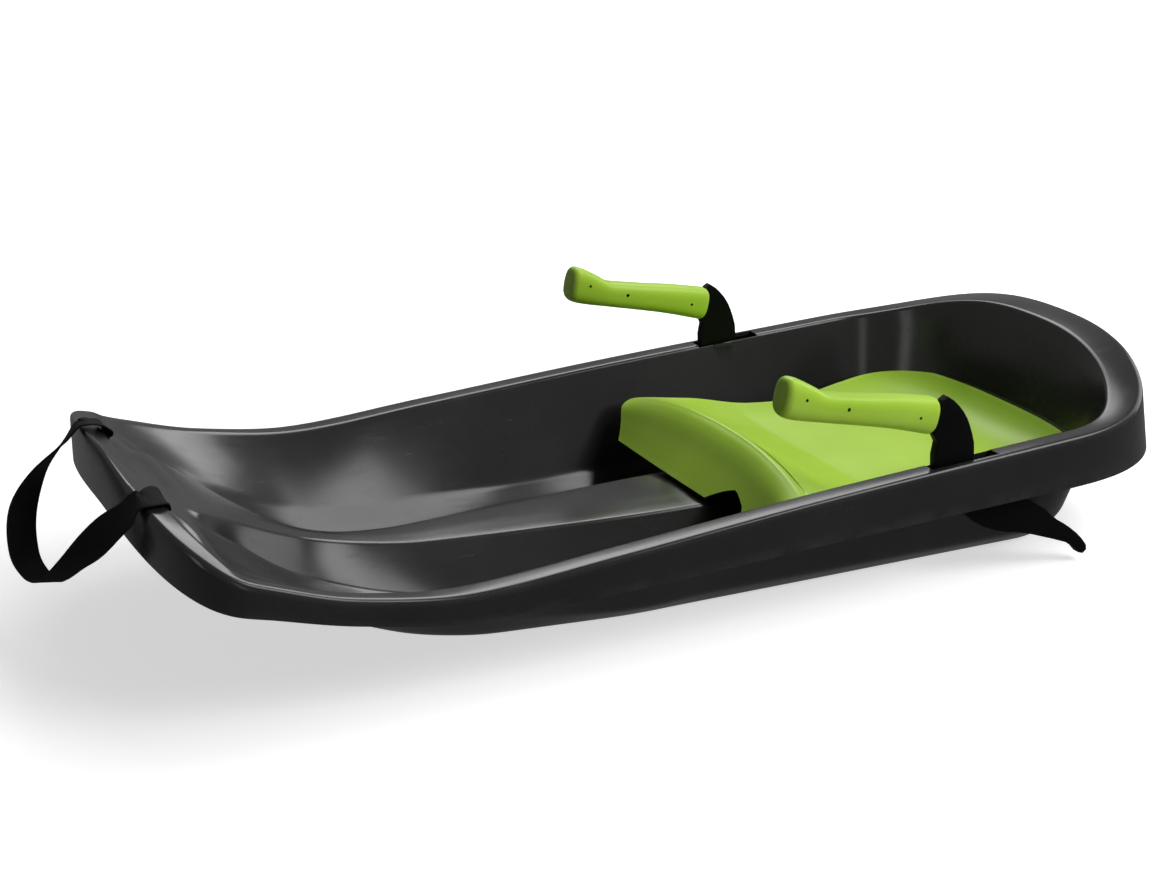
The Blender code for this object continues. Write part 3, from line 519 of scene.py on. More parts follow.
def bend_section(bend, reach, end_height, rise, fullness, turn, direction):
    """A section in the nose or the rear, turned from the side (0) to the middle (1)."""
    angle = turn * pi / 2
    side = cos(angle) ** (2 / fullness) if turn < 1 else 0.0
    ahead = sin(angle) ** (2 / fullness)
    out = np.array(bend)
    out[:, 0] += direction * reach * ahead
    out[:, 1] *= side
    out[:, 2] += (end_height - bend[:, 2]) * rise
    return out


def nose_section(turn):
    bend = side_section(1.0)
    reach = NOSE_LENGTH - NOSE_LIP_WIDTH * np.array([0, 0, 1, 1, 1, 1, 1, 1])
    reach -= NOSE_GUIDE_SPACING * np.array(NOSE_GUIDES_BACK)
    lip = NOSE_RIM_HEIGHT - NOSE_LIP_FALL
    end = np.array([NOSE_SKIRT_HEIGHT, NOSE_RIM_HEIGHT, lip]
                   + [lip - NOSE_STEP - down for down in NOSE_GUIDES_DOWN])
    sweep = np.array([NOSE_SWEEP] * 2 + [NOSE_LIP_SWEEP] * 2 + [NOSE_RAMP_SWEEP] * 4)
    rise = 1 - (1 - turn) ** sweep
    return bend_section(bend, reach, end, rise, NOSE_FULLNESS, turn, 1)


def rear_section(turn):
    bend = side_section(0.0)
    reach = np.array([REAR_LENGTH + REAR_FLARE, REAR_LENGTH, REAR_LENGTH - REAR_FLAT_WIDTH,
                      REAR_FOOT_LENGTH, REAR_FLOOR_LENGTH, REAR_CREASE_LENGTH, REAR_DECK_LENGTH,
                      REAR_SPINE_LENGTH])
    ahead = sin(turn * pi / 2) ** (2 / REAR_FULLNESS)
    out = bend_section(bend, reach, bend[:, 2], 0.0, REAR_FULLNESS, turn, -1)
    rim_rise = REAR_RIM_SLOPE * REAR_LENGTH * ahead + REAR_RIM_KICK * ahead ** REAR_KICK_POWER
    out[1, 2] += rim_rise
    out[2, 2] += rim_rise - REAR_RIM_FALL * ahead
    out[0, 2] += (REAR_SKIRT_HEIGHT - bend[0, 2]) * ahead
    out[3, 2] += (REAR_FOOT_HEIGHT - bend[3, 2]) * ahead
    return out


def inner_wall_y(x, z):
    """Half width of the tub at a height on its side wall."""
    section = side_section(np.clip((x - REAR_X) / (NOSE_X - REAR_X), 0, 1))
    foot, top = section[3], section[2]
    return float(foot[1] + (top[1] - foot[1]) * (z - foot[2]) / (top[2] - foot[2]))


def rim_height_at(x):
    return float(smooth_curve(RIM_HEIGHT, (x - REAR_X) / (NOSE_X - REAR_X)))


def skirt_at_pivot():
    return WIDTH * float(smooth_curve(RIM_HALF_WIDTH, (PIVOT_X - REAR_X) / (NOSE_X - REAR_X)))


def pin_end(skirt_y):
    return skirt_y - HULL_SHELL


def strap_slot_place():
    """Middle of the strap slot, on the ramp just behind the nose's lip."""
    lip, foot = nose_guide_at(2, STRAP_Y), nose_guide_at(3, STRAP_Y)
    return lip[0] - STRAP_SLOT_WIDTH / 2, foot[2]


def nose_guide_at(guide, y):
    """Where a guide curve of the nose stands at a half width."""
    low, high = 0.0, 1.0
    for _ in range(HALVINGS):
        middle = (low + high) / 2
        if nose_section(middle)[guide][1] > y:
            low = middle
        else:
            high = middle
    return [float(c) for c in nose_section(low)[guide]]


def softened(points):
    """The same open line with each inner corner cut back to two gentler ones."""
    out = [points[0]]
    for i in range(1, len(points) - 1):
        for other in (points[i - 1], points[i + 1]):
            out.append(tuple(c + (o - c) * CORNER_CUT for c, o in zip(points[i], other)))
    return out + [points[-1]]


def lever_outline():
    """The lever's side outline about its pivot, forward and up, from the grip's core round."""
    along = Vector((cos(GRIP_TILT), sin(GRIP_TILT)))
    up = Vector((-along.y, along.x)) * CORE_HEIGHT / 2
    tip = Vector(GRIP_TIP) - along * (GRIP_LENGTH - CORE_LENGTH)
    root = tip - along * CORE_LENGTH
    heel = root - along * GAP
    crown = up.normalized() * NECK_ABOVE
    chin = up.normalized() * NECK_BELOW
    claw = ((0.09, 0.587), (0.032, 0.548), (-0.039, 0.465), (-0.084, 0.368), (-0.116, 0.258),
            (-0.106, 0.097), (-0.194, -0.019), (-0.4, -0.077), (-0.626, -0.181), (-0.723, -0.277),
            (-0.826, -0.342), (-0.929, -0.426), (-1, -0.516), (-0.948, -0.555), (-0.877, -0.477),
            (-0.8, -0.439), (-0.497, -0.329), (-0.348, -0.303), (-0.168, -0.226), (-0.032, -0.1),
            (0.087, -0.052), (0.103, 0.032), (0.148, 0.116))
    arm = [(a * LEVER_REACH, b * LEVER_REACH) for a, b in softened(claw)]
    neck = [(NECK_FRONT, NECK_RISES[0] * LEVER_REACH),
            (NECK_FRONT - NECK_LEAN, NECK_RISES[1] * LEVER_REACH)]
    return ([tuple(tip + up), tuple(heel + up), tuple(heel + crown)] + arm + neck
            + [tuple(heel - chin), tuple(heel - up), tuple(tip - up)])


def seat_profile(distance):
    """Height of the seat's middle at a distance behind its front edge, without bead or groove."""
    deck = DECK_HEIGHT[0][1] + DECK_CROWN
    pan = deck + GAP + SEAT_SHELL
    foot = pan + SEAT_FOOT_STEP
    crest = SEAT_CREST_SETBACK
    rise = SEAT_CREST_HEIGHT - foot
    points = [(crest * share, foot + rise * height) for share, height in SEAT_APRON_RISE]
    points += [(crest + SEAT_PAN_LENGTH * share, pan + (SEAT_CREST_HEIGHT - pan) * height)
               for share, height in SEAT_PAN_FALL]
    return float(smooth_curve(points, distance))


def rounded(section, rounds):
    """Points along a section: straight stretches between its guides, with each corner rounded."""
    path, last = [], section[0]
    for i in range(1, len(section) - 1):
        corner = section[i]
        before, after = section[i - 1] - corner, section[i + 1] - corner
        reach = min(rounds[i], ROUND_SHARE * np.linalg.norm(before), ROUND_SHARE * np.linalg.norm(after))
        a = corner + before / np.linalg.norm(before) * reach
        b = corner + after / np.linalg.norm(after) * reach
        path += [last + (a - last) * k / STRAIGHT_STEPS[i - 1] for k in range(STRAIGHT_STEPS[i - 1])]
        for k in range(CORNER_STEPS):
            t = k / CORNER_STEPS
            path.append(a * (1 - t) ** 2 + corner * 2 * t * (1 - t) + b * t * t)
        last = b
    path += [last + (section[-1] - last) * k / STRAIGHT_STEPS[-1] for k in range(STRAIGHT_STEPS[-1] + 1)]
    return path


def hull_guides():
    """The eight guide curves in even steps along the rim, with the joints of their stretches eased."""
    fine = [nose_section(1 - i / NOSE_SAMPLES) for i in range(NOSE_SAMPLES)]
    fine += [side_section(1 - i / SIDE_SAMPLES) for i in range(SIDE_SAMPLES)]
    fine += [rear_section(i / REAR_SAMPLES) for i in range(REAR_SAMPLES + 1)]
    fine = np.array(fine)
    rim = fine[:, 1]
    reach = np.concatenate([[0], np.cumsum(np.linalg.norm(np.diff(rim, axis=0), axis=1))])
    count = round(reach[-1] / HULL_STEP)
    even = np.linspace(0, reach[-1], count + 1)
    guides = np.stack([[np.interp(even, reach, fine[:, g, c]) for c in range(3)] for g in range(8)])
    guides = guides.transpose(2, 0, 1)
    for guide in guides:
        x = guide[1][0]
        share = smooth_step(x / FOOT_FADE) * (1 - smooth_step((x - FOOT_FRONT) / FOOT_FADE))
        guide[3] += np.array(FOOT_FULLER) * share
    flip = np.array([1, -1, 1])
    side = HULL_EASE_REACH * round(HULL_EASE / HULL_STEP + 1)
    padded = np.concatenate([guides[side:0:-1] * flip, guides, guides[-2:-side - 2:-1] * flip])
    offsets = np.arange(-side, side + 1) * HULL_STEP
    weights = np.exp(-offsets ** 2 / (2 * HULL_EASE ** 2))
    weights /= weights.sum()
    return sum(w * padded[i:i + count + 1] for i, w in enumerate(weights))


def grid_mesh(name, rows):
    """A sheet of quads through rows of points."""
    bm = bmesh.new()
    verts = [[bm.verts.new(Vector(p)) for p in row] for row in rows]
    for a, b in zip(verts, verts[1:]):
        for i in range(len(a) - 1):
            bm.faces.new((a[i], b[i], b[i + 1], a[i + 1]))
    return mesh_from(bm, name)


def mirror_and_thicken(obj, thickness):
    mirror = obj.modifiers.new("mirror", "MIRROR")
    mirror.use_axis = (False, True, False)
    mirror.use_clip = True
    mirror.merge_threshold = WELD
    solid = obj.modifiers.new("sheet", "SOLIDIFY")
    solid.thickness = thickness
    solid.offset = -1
    solid.use_even_offset = True


def add_boolean(obj, cutters, operation):
    mod = obj.modifiers.new(operation.lower(), "BOOLEAN")
    mod.operation = operation
    mod.operand_type = "COLLECTION"
    mod.collection = cutters
    mod.solver = "EXACT"


def settle(obj, material, cutters, angle=SHARP_FROM):
    """The object's modifiers become its mesh, its cutters go, and it is shaded smooth."""
    graph = bpy.context.evaluated_depsgraph_get()
    mesh = bpy.data.meshes.new_from_object(obj.evaluated_get(graph))
    obj.modifiers.clear()
    obj.data = mesh
    bm = bmesh.new()
    bm.from_mesh(mesh)
    bmesh.ops.remove_doubles(bm, verts=bm.verts, dist=CLEAN)
    bmesh.ops.dissolve_degenerate(bm, edges=bm.edges, dist=CLEAN)
    bm.to_mesh(mesh)
    bm.free()
    mesh.materials.clear()
    mesh.materials.append(material)
    mesh.shade_smooth()
    mesh.set_sharp_from_angle(angle=radians(angle))
    for collection in cutters:
        for cutter in list(collection.objects):
            bpy.data.objects.remove(cutter)
        bpy.data.collections.remove(collection)


def new_collection(name):
    collection = bpy.data.collections.new(name)
    bpy.context.scene.collection.children.link(collection)
    return collection


def cutter_box(name, low, high, collection):
    bm = bmesh.new()
    bmesh.ops.create_cube(bm, size=1.0)
    for v in bm.verts:
        v.co = Vector([low[i] + (v.co[i] + 0.5) * (high[i] - low[i]) for i in range(3)])
    return add_object(name, mesh_from(bm, name), collection=collection)


def rod(name, radius, y_from, y_to, x, z, collection, segments=48):
    """A round rod along Y."""
    bm = bmesh.new()
    bmesh.ops.create_cone(bm, cap_ends=True, segments=segments, radius1=radius, radius2=radius,
                          depth=abs(y_to - y_from))
    bmesh.ops.rotate(bm, verts=bm.verts, cent=(0, 0, 0), matrix=Matrix.Rotation(pi / 2, 3, "X"))
    bmesh.ops.translate(bm, verts=bm.verts, vec=(x, (y_from + y_to) / 2, z))
    return add_object(name, mesh_from(bm, name), collection=collection)


def build_hull(material):
    """The moulded tub with its lever slots, pin ears and bosses, and strap slots."""
    rounds = (0, RIM_ROUND, FLAT_ROUND, CRISP_FOOT, CRISP_FLOOR, CRISP_CREASE, CRISP_DECK, 0)
    hull = add_object("hull_shell", grid_mesh("hull_shell", [rounded(g, rounds) for g in hull_guides()]))
    mirror_and_thicken(hull, HULL_SHELL)
    joined, cut = new_collection("joined"), new_collection("cut")
    skirt_y = skirt_at_pivot()
    half = LEVER_THICKNESS / 2
    neck_front = PIVOT_X + NECK_FRONT
    rim_z = rim_height_at(PIVOT_X)
    for side, sign in (("left", 1), ("right", -1)):
        ear_faces = sorted((sign * (LEVER_Y - half - BOSS_GAP - EAR_THICKNESS),
                            sign * (LEVER_Y - half - BOSS_GAP)))
        rod(f"ear {side}", BOSS_RADIUS, *ear_faces, PIVOT_X, PIVOT_HEIGHT, joined)
        cutter_box(f"web {side}", (PIVOT_X - BOSS_RADIUS, ear_faces[0], PIVOT_HEIGHT),
                   (PIVOT_X + BOSS_RADIUS, ear_faces[1], rim_z - HULL_SHELL / 2), joined)
        rod(f"boss {side}", BOSS_RADIUS, sign * (LEVER_Y + half + BOSS_GAP),
            sign * (skirt_y - HULL_SHELL / 2), PIVOT_X, PIVOT_HEIGHT, joined)
        rod(f"bore {side}", PIN_RADIUS + GAP, sign * (PIN_START - EAR_THICKNESS),
            sign * (pin_end(skirt_y) + GAP), PIVOT_X, PIVOT_HEIGHT, cut)
        slot_y = (sign * (LEVER_Y - half - SLOT_SIDE_GAP), sign * (LEVER_Y + half + SLOT_SIDE_GAP))
        cutter_box(f"lever slot {side}",
                   (neck_front + SLOT_FRONT_GAP - SLOT_LENGTH, min(slot_y),
                    rim_z - HULL_SHELL - SLOT_UNDERCUT),
                   (neck_front + SLOT_FRONT_GAP, max(slot_y), rim_z + SLOT_REACH), cut)
        x, z = strap_slot_place()
        cutter_box(f"strap slot {side}",
                   (x - STRAP_SLOT_WIDTH / 2, sign * STRAP_Y - STRAP_SLOT_LENGTH / 2, z - STRAP_SLOT_DEPTH),
                   (x + STRAP_SLOT_WIDTH / 2, sign * STRAP_Y + STRAP_SLOT_LENGTH / 2,
                    z + STRAP_SLOT_DEPTH / 2), cut)
    add_boolean(hull, joined, "UNION")
    add_boolean(hull, cut, "DIFFERENCE")
    settle(hull, material, (joined, cut))
    stand_for(hull, "hull", "sled")


def stand_for(piece, node, body):
    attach(piece, body)
    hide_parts(node)


def seat_height(distance):
    """Height of the seat's middle, with a raised bead along the crest and a fine groove behind it."""
    bead = max(0, 1 - ((distance - BEAD_MIDDLE) / BEAD_HALF_WIDTH) ** 2)
    groove = max(0, 1 - abs(distance - GROOVE_MIDDLE) / GROOVE_HALF_WIDTH) ** GROOVE_SHAPE
    return seat_profile(distance) + BEAD_RISE * bead - GROOVE_CUT * groove


def seat_distances():
    """Distances behind the seat's front edge, close together over the bead and the groove."""
    pan_end = SEAT_LENGTH * SEAT_PAN_SHARE
    steps = round(pan_end / SEAT_STEP)
    fine_from, fine_to = BEAD_MIDDLE - BEAD_HALF_WIDTH, GROOVE_MIDDLE + GROOVE_HALF_WIDTH
    coarse = [pan_end * i / steps for i in range(steps + 1)]
    coarse = [d for d in coarse if not fine_from - SEAT_STEP / 3 < d < fine_to + SEAT_STEP / 3]
    steps = round((fine_to - fine_from) / GROOVE_STEP)
    return sorted(coarse + [fine_from + (fine_to - fine_from) * i / steps for i in range(steps + 1)])


def seat_front_column(distance):
    """Points from the seat's edge to its middle, at a distance behind its front edge."""
    share = distance / SEAT_LENGTH
    edge_z = float(smooth_curve(SEAT_EDGE_HEIGHT, share))
    edge_y = WIDTH * float(smooth_curve(SEAT_EDGE_HALF_WIDTH, share))
    middle_z = seat_height(distance)
    bow = SEAT_CREST_BOW * float(smooth_curve(((0, 0), (SEAT_BOW_CREST, 1), (SEAT_BOW_END, 0)), share))
    dish = SEAT_DISH_FRONT + (SEAT_DISH_BACK - SEAT_DISH_FRONT) * min(share / SEAT_FLAT_FROM, 1)
    column = []
    for k in range(SEAT_ACROSS + 1):
        out = 1 - k / SEAT_ACROSS
        column.append((SEAT_FRONT_X - distance + bow * out ** 2, edge_y * out,
                       middle_z + (edge_z - middle_z) * out ** dish))
    return column


def seat_back_column(turn):
    """Points from the seat's lip, just inside the tub's rear wall, to its middle."""
    side_z, side_y = SEAT_EDGE_HEIGHT[-1][1], WIDTH * SEAT_EDGE_HALF_WIDTH[-1][1]
    middle_z = seat_profile(SEAT_LENGTH)
    section = rear_section(turn)
    foot, top, spine = section[3], section[2], section[7]
    edge_z = side_z + (SEAT_LIP_HEIGHT - side_z) * min(turn * SEAT_LIP_RISE_TURN, 1)
    wall = foot + (top - foot) * (edge_z - SEAT_SHELL - foot[2]) / (top[2] - foot[2])
    meet = (1 - min(turn * SEAT_WALL_MEET_TURN, 1)) ** 2
    inset = SEAT_WALL_GAP + (inner_wall_y(REAR_X, side_z) - side_y - SEAT_WALL_GAP) * meet
    inward = np.array([wall[0] - REAR_X, wall[1]])
    inward /= np.linalg.norm(inward)
    edge = np.array([wall[0] - inward[0] * inset, wall[1] - inward[1] * inset])
    column = []
    for k in range(SEAT_ACROSS + 1):
        share = k / SEAT_ACROSS
        column.append((edge[0] + (spine[0] - edge[0]) * share, edge[1] * (1 - share),
                       middle_z + (edge_z - middle_z) * (1 - share) ** SEAT_DISH_BACK))
    return column


def build_seat(material):
    """The moulded seat: apron, beaded crest, pan, and a lip that follows the tub round the back."""
    columns = [seat_front_column(distance) for distance in seat_distances()]
    columns += [seat_back_column(i / SEAT_BACK_STEPS) for i in range(SEAT_BACK_STEPS + 1)]
    seat = add_object("seat_shell", grid_mesh("seat_shell", columns))
    mirror_and_thicken(seat, SEAT_SHELL)
    cut = new_collection("cut")
    notch = plate("notch", SEAT_NOTCH, SEAT_CREST_SETBACK, cut)
    notch.data.transform(Matrix.Translation((SEAT_FRONT_X, 0, 0)) @ Matrix.Rotation(pi / 2, 4, "Z"))
    add_boolean(seat, cut, "DIFFERENCE")
    settle(seat, material, (cut,))
    stand_for(seat, "seat", "sled")


def plate(name, outline, thickness, collection, corner=0.0):
    """A flat plate of an outline in the XZ plane, with softened edges where a corner is given."""
    curve = bpy.data.curves.new(name, "CURVE")
    curve.dimensions = "2D"
    curve.fill_mode = "BOTH"
    curve.extrude = thickness / 2
    loop = curve.splines.new("POLY")
    loop.points.add(len(outline) - 1)
    for point, (a, b) in zip(loop.points, outline):
        point.co = (a, b, 0, 1)
    loop.use_cyclic_u = True
    temp = add_object(name, curve)
    graph = bpy.context.evaluated_depsgraph_get()
    mesh = bpy.data.meshes.new_from_object(temp.evaluated_get(graph))
    bpy.data.objects.remove(temp)
    bm = bmesh.new()
    bm.from_mesh(mesh)
    bmesh.ops.remove_doubles(bm, verts=bm.verts, dist=WELD)
    bmesh.ops.rotate(bm, verts=bm.verts, cent=(0, 0, 0), matrix=Matrix.Rotation(pi / 2, 3, "X"))
    if corner:
        rims = [e for e in bm.edges if len(e.link_faces) == 2 and e.calc_face_angle() > LEVER_RIM_ANGLE
                and abs(e.verts[0].co.y - e.verts[1].co.y) < thickness / 4]
        bmesh.ops.bevel(bm, geom=rims, offset=corner, segments=LEVER_CORNER_STEPS, profile=0.5,
                        affect="EDGES", clamp_overlap=True)
    bmesh.ops.recalc_face_normals(bm, faces=bm.faces)
    bm.to_mesh(mesh)
    bm.free()
    return add_object(name, mesh, collection=collection)


def build_lever(side, sign, material):
    """The plate lever: a hooked claw, a curved neck, and a core inside the grip."""
    lever = plate(f"lever_{side}_plate", lever_outline(), LEVER_THICKNESS, bpy.context.scene.collection,
                  LEVER_CORNER)
    lever.data.transform(Matrix.Translation((PIVOT_X, sign * LEVER_Y, PIVOT_HEIGHT)))
    cut = new_collection("cut")
    rod("bore", PIN_RADIUS + PIN_PLAY, sign * LEVER_Y - LEVER_THICKNESS, sign * LEVER_Y + LEVER_THICKNESS,
        PIVOT_X, PIVOT_HEIGHT, cut)
    add_boolean(lever, cut, "DIFFERENCE")
    settle(lever, material, (cut,))
    stand_for(lever, f"lever_{side}", f"brake_lever_{side}")


def grip_mesh(name, tip, along, up):
    """A closed skin of rounded oblong sections, from the grip's neck end to its tip."""
    body = GRIP_LENGTH - 2 * GRIP_CORNER
    steps = round(body / GRIP_STEP)
    corner = [GRIP_CORNER * (1 - cos(pi / 2 * i / GRIP_CORNER_STEPS)) for i in range(GRIP_CORNER_STEPS + 1)]
    places = corner + [GRIP_CORNER + body * (i + 1) / steps for i in range(steps - 1)]
    places += [GRIP_LENGTH - c for c in reversed(corner)]
    bm = bmesh.new()
    loops = []
    for place in places:
        share = place / GRIP_LENGTH
        end = 1 - min(place, GRIP_LENGTH - place, GRIP_CORNER) / GRIP_CORNER
        trim = 2 * GRIP_CORNER * (1 - sqrt(max(0, 1 - end ** 2)))
        height = float(smooth_curve(GRIP_HEIGHTS, share)) - trim
        width = GRIP_WIDTH - trim
        centre = tip - along * (GRIP_LENGTH - place) + up * float(smooth_curve(GRIP_RISES, share))
        loop = []
        for j in range(GRIP_AROUND):
            a = 2 * pi * (j + 0.5) / GRIP_AROUND
            out = (abs(cos(a)) ** GRIP_SQUARENESS + abs(sin(a)) ** GRIP_SQUARENESS) ** (-1 / GRIP_SQUARENESS)
            loop.append(bm.verts.new(centre + Vector((0, 1, 0)) * out * cos(a) * width / 2
                                     + up * out * sin(a) * height / 2))
        loops.append(loop)
    for a, b in zip(loops, loops[1:]):
        for j in range(GRIP_AROUND):
            k = (j + 1) % GRIP_AROUND
            bm.faces.new((a[j], a[k], b[k], b[j]))
    bm.faces.new(loops[0][::-1])
    bm.faces.new(loops[-1])
    bmesh.ops.recalc_face_normals(bm, faces=bm.faces)
    return mesh_from(bm, name)


def build_grip(side, sign, material):
    """A moulded grip with a socket for the lever's core and small mould holes along both faces."""
    along = Vector((cos(GRIP_TILT), 0, sin(GRIP_TILT)))
    up = Vector((-along.z, 0, along.x))
    pivot = Vector((PIVOT_X, sign * LEVER_Y, PIVOT_HEIGHT))
    core_tip = pivot + Vector((GRIP_TIP[0], 0, GRIP_TIP[1]))
    tip = core_tip + Vector((0, -GRIP_INSET * sign, 0))
    grip = add_object(f"grip_{side}_cover", grip_mesh(f"grip_{side}_cover", tip, along, up))
    cut = new_collection("cut")
    half = Vector((CORE_LENGTH / 2 + SOCKET_OVERRUN, LEVER_THICKNESS / 2 + GAP, CORE_HEIGHT / 2 + GAP))
    socket = cutter_box("socket", -half, half, cut)
    core_end = core_tip - along * (GRIP_LENGTH - CORE_LENGTH)
    socket.data.transform(Matrix.Translation(core_end - along * (half.x - GAP))
                          @ Matrix.Rotation(-GRIP_TILT, 4, "Y"))
    middle = sign * (LEVER_Y - GRIP_INSET)
    for reach, rise, radius in GRIP_HOLES:
        spot = tip - along * reach + up * rise
        for face in (-1, 1):
            depth = GRIP_HOLE_DEPTH if face != sign else GRIP_HOLE_DEPTH / 2
            outer = middle + face * GRIP_WIDTH
            rod("hole", radius, middle + face * (GRIP_WIDTH / 2 - depth), outer, spot.x, spot.z, cut,
                GRIP_HOLE_SIDES)
    add_boolean(grip, cut, "DIFFERENCE")
    settle(grip, material, (cut,), GRIP_SHARP_FROM)
    stand_for(grip, f"grip_{side}", f"brake_lever_{side}")


class Nodes:
    """Short calls for building the nodes of a material or a world."""

    def __init__(self, owner):
        owner.use_nodes = True
        self.tree = owner.node_tree

    def add(self, kind, **settings):
        node = self.tree.nodes.new(kind)
        for name, value in settings.items():
            setattr(node, name, value)
        return node

    def link(self, source, target):
        self.tree.links.new(source, target)

    def maths(self, operation, a, b):
        node = self.add("ShaderNodeMath", operation=operation)
        for socket, value in zip(node.inputs, (a, b)):
            if isinstance(value, (int, float)):
                socket.default_value = value
            else:
                self.link(value, socket)
        return node.outputs["Value"]


class Surface(Nodes):
    """The nodes of one material, round its Principled shader."""

    def __init__(self, name):
        self.material = bpy.data.materials.new(name)
        super().__init__(self.material)
        self.shader = self.tree.nodes["Principled BSDF"]
        self.place = self.add("ShaderNodeTexCoord").outputs["Object"]

    def noise(self, scale, detail=3.0, roughness=0.55, vector=None):
        node = self.add("ShaderNodeTexNoise")
        node.inputs["Scale"].default_value = scale
        node.inputs["Detail"].default_value = detail
        node.inputs["Roughness"].default_value = roughness
        self.link(vector or self.place, node.inputs["Vector"])
        return node.outputs["Fac"]

    def stretched(self, scale):
        node = self.add("ShaderNodeMapping")
        node.inputs["Scale"].default_value = scale
        self.link(self.place, node.inputs["Vector"])
        return node.outputs["Vector"]

    def ramp(self, value, low, high, to_low=0.0, to_high=1.0):
        node = self.add("ShaderNodeMapRange", clamp=True)
        self.link(value, node.inputs["Value"])
        limits = {"From Min": low, "From Max": high, "To Min": to_low, "To Max": to_high}
        for name, number in limits.items():
            node.inputs[name].default_value = number
        return node.outputs["Result"]

    def mix(self, share, a, b):
        node = self.add("ShaderNodeMix", data_type="RGBA")
        self.link(share, node.inputs["Factor"])
        for name, colour in (("A", a), ("B", b)):
            socket = [s for s in node.inputs if s.name == name and s.type == "RGBA"][0]
            if isinstance(colour, tuple):
                socket.default_value = (*colour, 1)
            else:
                self.link(colour, socket)
        return [s for s in node.outputs if s.type == "RGBA"][0]

    def edges(self, low, high):
        geometry = self.add("ShaderNodeNewGeometry")
        return self.ramp(geometry.outputs["Pointiness"], low, high)

    def hollow_shade_mask(self, depth):
        """1 inside small holes, grooves and tight corners, 0 on open surfaces: an occlusion mask, used to
        paint shade there.
        """
        node = self.add("ShaderNodeAmbientOcclusion", samples=4, only_local=True)
        node.inputs["Distance"].default_value = depth
        return self.ramp(node.outputs["AO"], 0.75, 0.25)

    def bump(self, height, distance, strength=1.0, normal=None):
        node = self.add("ShaderNodeBump")
        node.inputs["Strength"].default_value = strength
        node.inputs["Distance"].default_value = distance
        self.link(height, node.inputs["Height"])
        if normal:
            self.link(normal, node.inputs["Normal"])
        return node.outputs["Normal"]

    def finish(self, colour, roughness, normal, **fixed):
        self.link(colour, self.shader.inputs["Base Color"])
        self.link(roughness, self.shader.inputs["Roughness"])
        self.link(normal, self.shader.inputs["Normal"])
        for name, value in fixed.items():
            self.shader.inputs[name.replace("_", " ")].default_value = value
        return self.material


def moulded_plastic(name, colours, roughness, grain, specular):
    """Cloudy colour, fine grain, faint scuffs, edges rubbed a little lighter, and painted shade in holes,
    grooves and tight corners.
    """
    dark, light, worn = colours
    n = Surface(name)
    cloud = n.ramp(n.noise(CLOUD_SCALE, 4.0), 0.35, 0.68)
    streak = n.ramp(n.noise(SCUFF_SCALE, 4.0, 0.6, n.stretched(SCUFF_STRETCH)), 0.55, 0.75)
    edge = n.maths("MULTIPLY", n.edges(0.52, 0.60), n.ramp(n.noise(WEAR_SCALE, 4.0), 0.35, 0.65))
    colour = n.mix(n.maths("MULTIPLY", edge, WEAR_SHARE), n.mix(cloud, dark, light), worn)
    # Painted shade: holes, grooves and tight corners darkened by an occlusion test
    colour = n.mix(n.maths("MULTIPLY", n.hollow_shade_mask(HOLLOW_SHADE_REACH), HOLLOW_SHADE_SHARE), colour, HOLLOW_PAINTED_SHADE)
    rough = n.maths("ADD", n.ramp(cloud, 0, 1, roughness - ROUGHNESS_SPREAD, roughness + ROUGHNESS_SPREAD),
                    n.maths("MULTIPLY", streak, SCUFF_ROUGHNESS))
    fine = n.bump(n.noise(GRAIN_SCALE, 2.0), GRAIN_DEPTH, grain)
    ripple = n.bump(n.noise(RIPPLE_SCALE, 1.0, 0.4), RIPPLE_DEPTH, 0.25, fine)
    normal = n.bump(n.noise(DIMPLE_SCALE, 2.0, 0.5), DIMPLE_DEPTH, 0.06, ripple)
    return n.finish(colour, rough, normal, Specular_IOR_Level=specular)


def webbing_material():
    """Black polyester webbing: cross ribs woven through fine warp threads, with lighter fibres."""
    n = Surface("webbing_weave")
    uv = n.add("ShaderNodeUVMap", uv_map="along").outputs["UV"]
    split = n.add("ShaderNodeSeparateXYZ")
    n.link(uv, split.inputs["Vector"])
    ribs = n.maths("SINE", n.maths("MULTIPLY", split.outputs["Y"], 2 * pi / RIB_PITCH), 0)
    warp = n.maths("SINE", n.maths("MULTIPLY", split.outputs["X"], 2 * pi * WARP_THREADS), 0)
    weave = n.maths("MULTIPLY", ribs, warp)
    fibre = n.noise(2500.0, 2.0, 0.6)
    shade = n.ramp(n.maths("ADD", weave, n.maths("MULTIPLY", fibre, 1.2)), -0.6, 1.6)
    colour = n.mix(shade, (0.0014, 0.0014, 0.0015), (0.0070, 0.0070, 0.0072))
    rough = n.ramp(fibre, 0.3, 0.7, 0.62, 0.80)
    normal = n.bump(fibre, 0.0001, 0.35, n.bump(weave, 0.00015, 0.6))
    return n.finish(colour, rough, normal, Specular_IOR_Level=0.15)


def steel_material():
    """Turned steel with fine rings round the pin and slightly darker patches."""
    n = Surface("pin_steel")
    turned = n.noise(900.0, 2.0, 0.5, n.stretched((1, 8, 1)))
    colour = n.mix(n.ramp(n.noise(220.0), 0.4, 0.7), (0.55, 0.55, 0.56), (0.40, 0.40, 0.40))
    rough = n.ramp(turned, 0.3, 0.7, 0.25, 0.42)
    return n.finish(colour, rough, n.bump(turned, 0.00005, 0.4), Metallic=1.0)


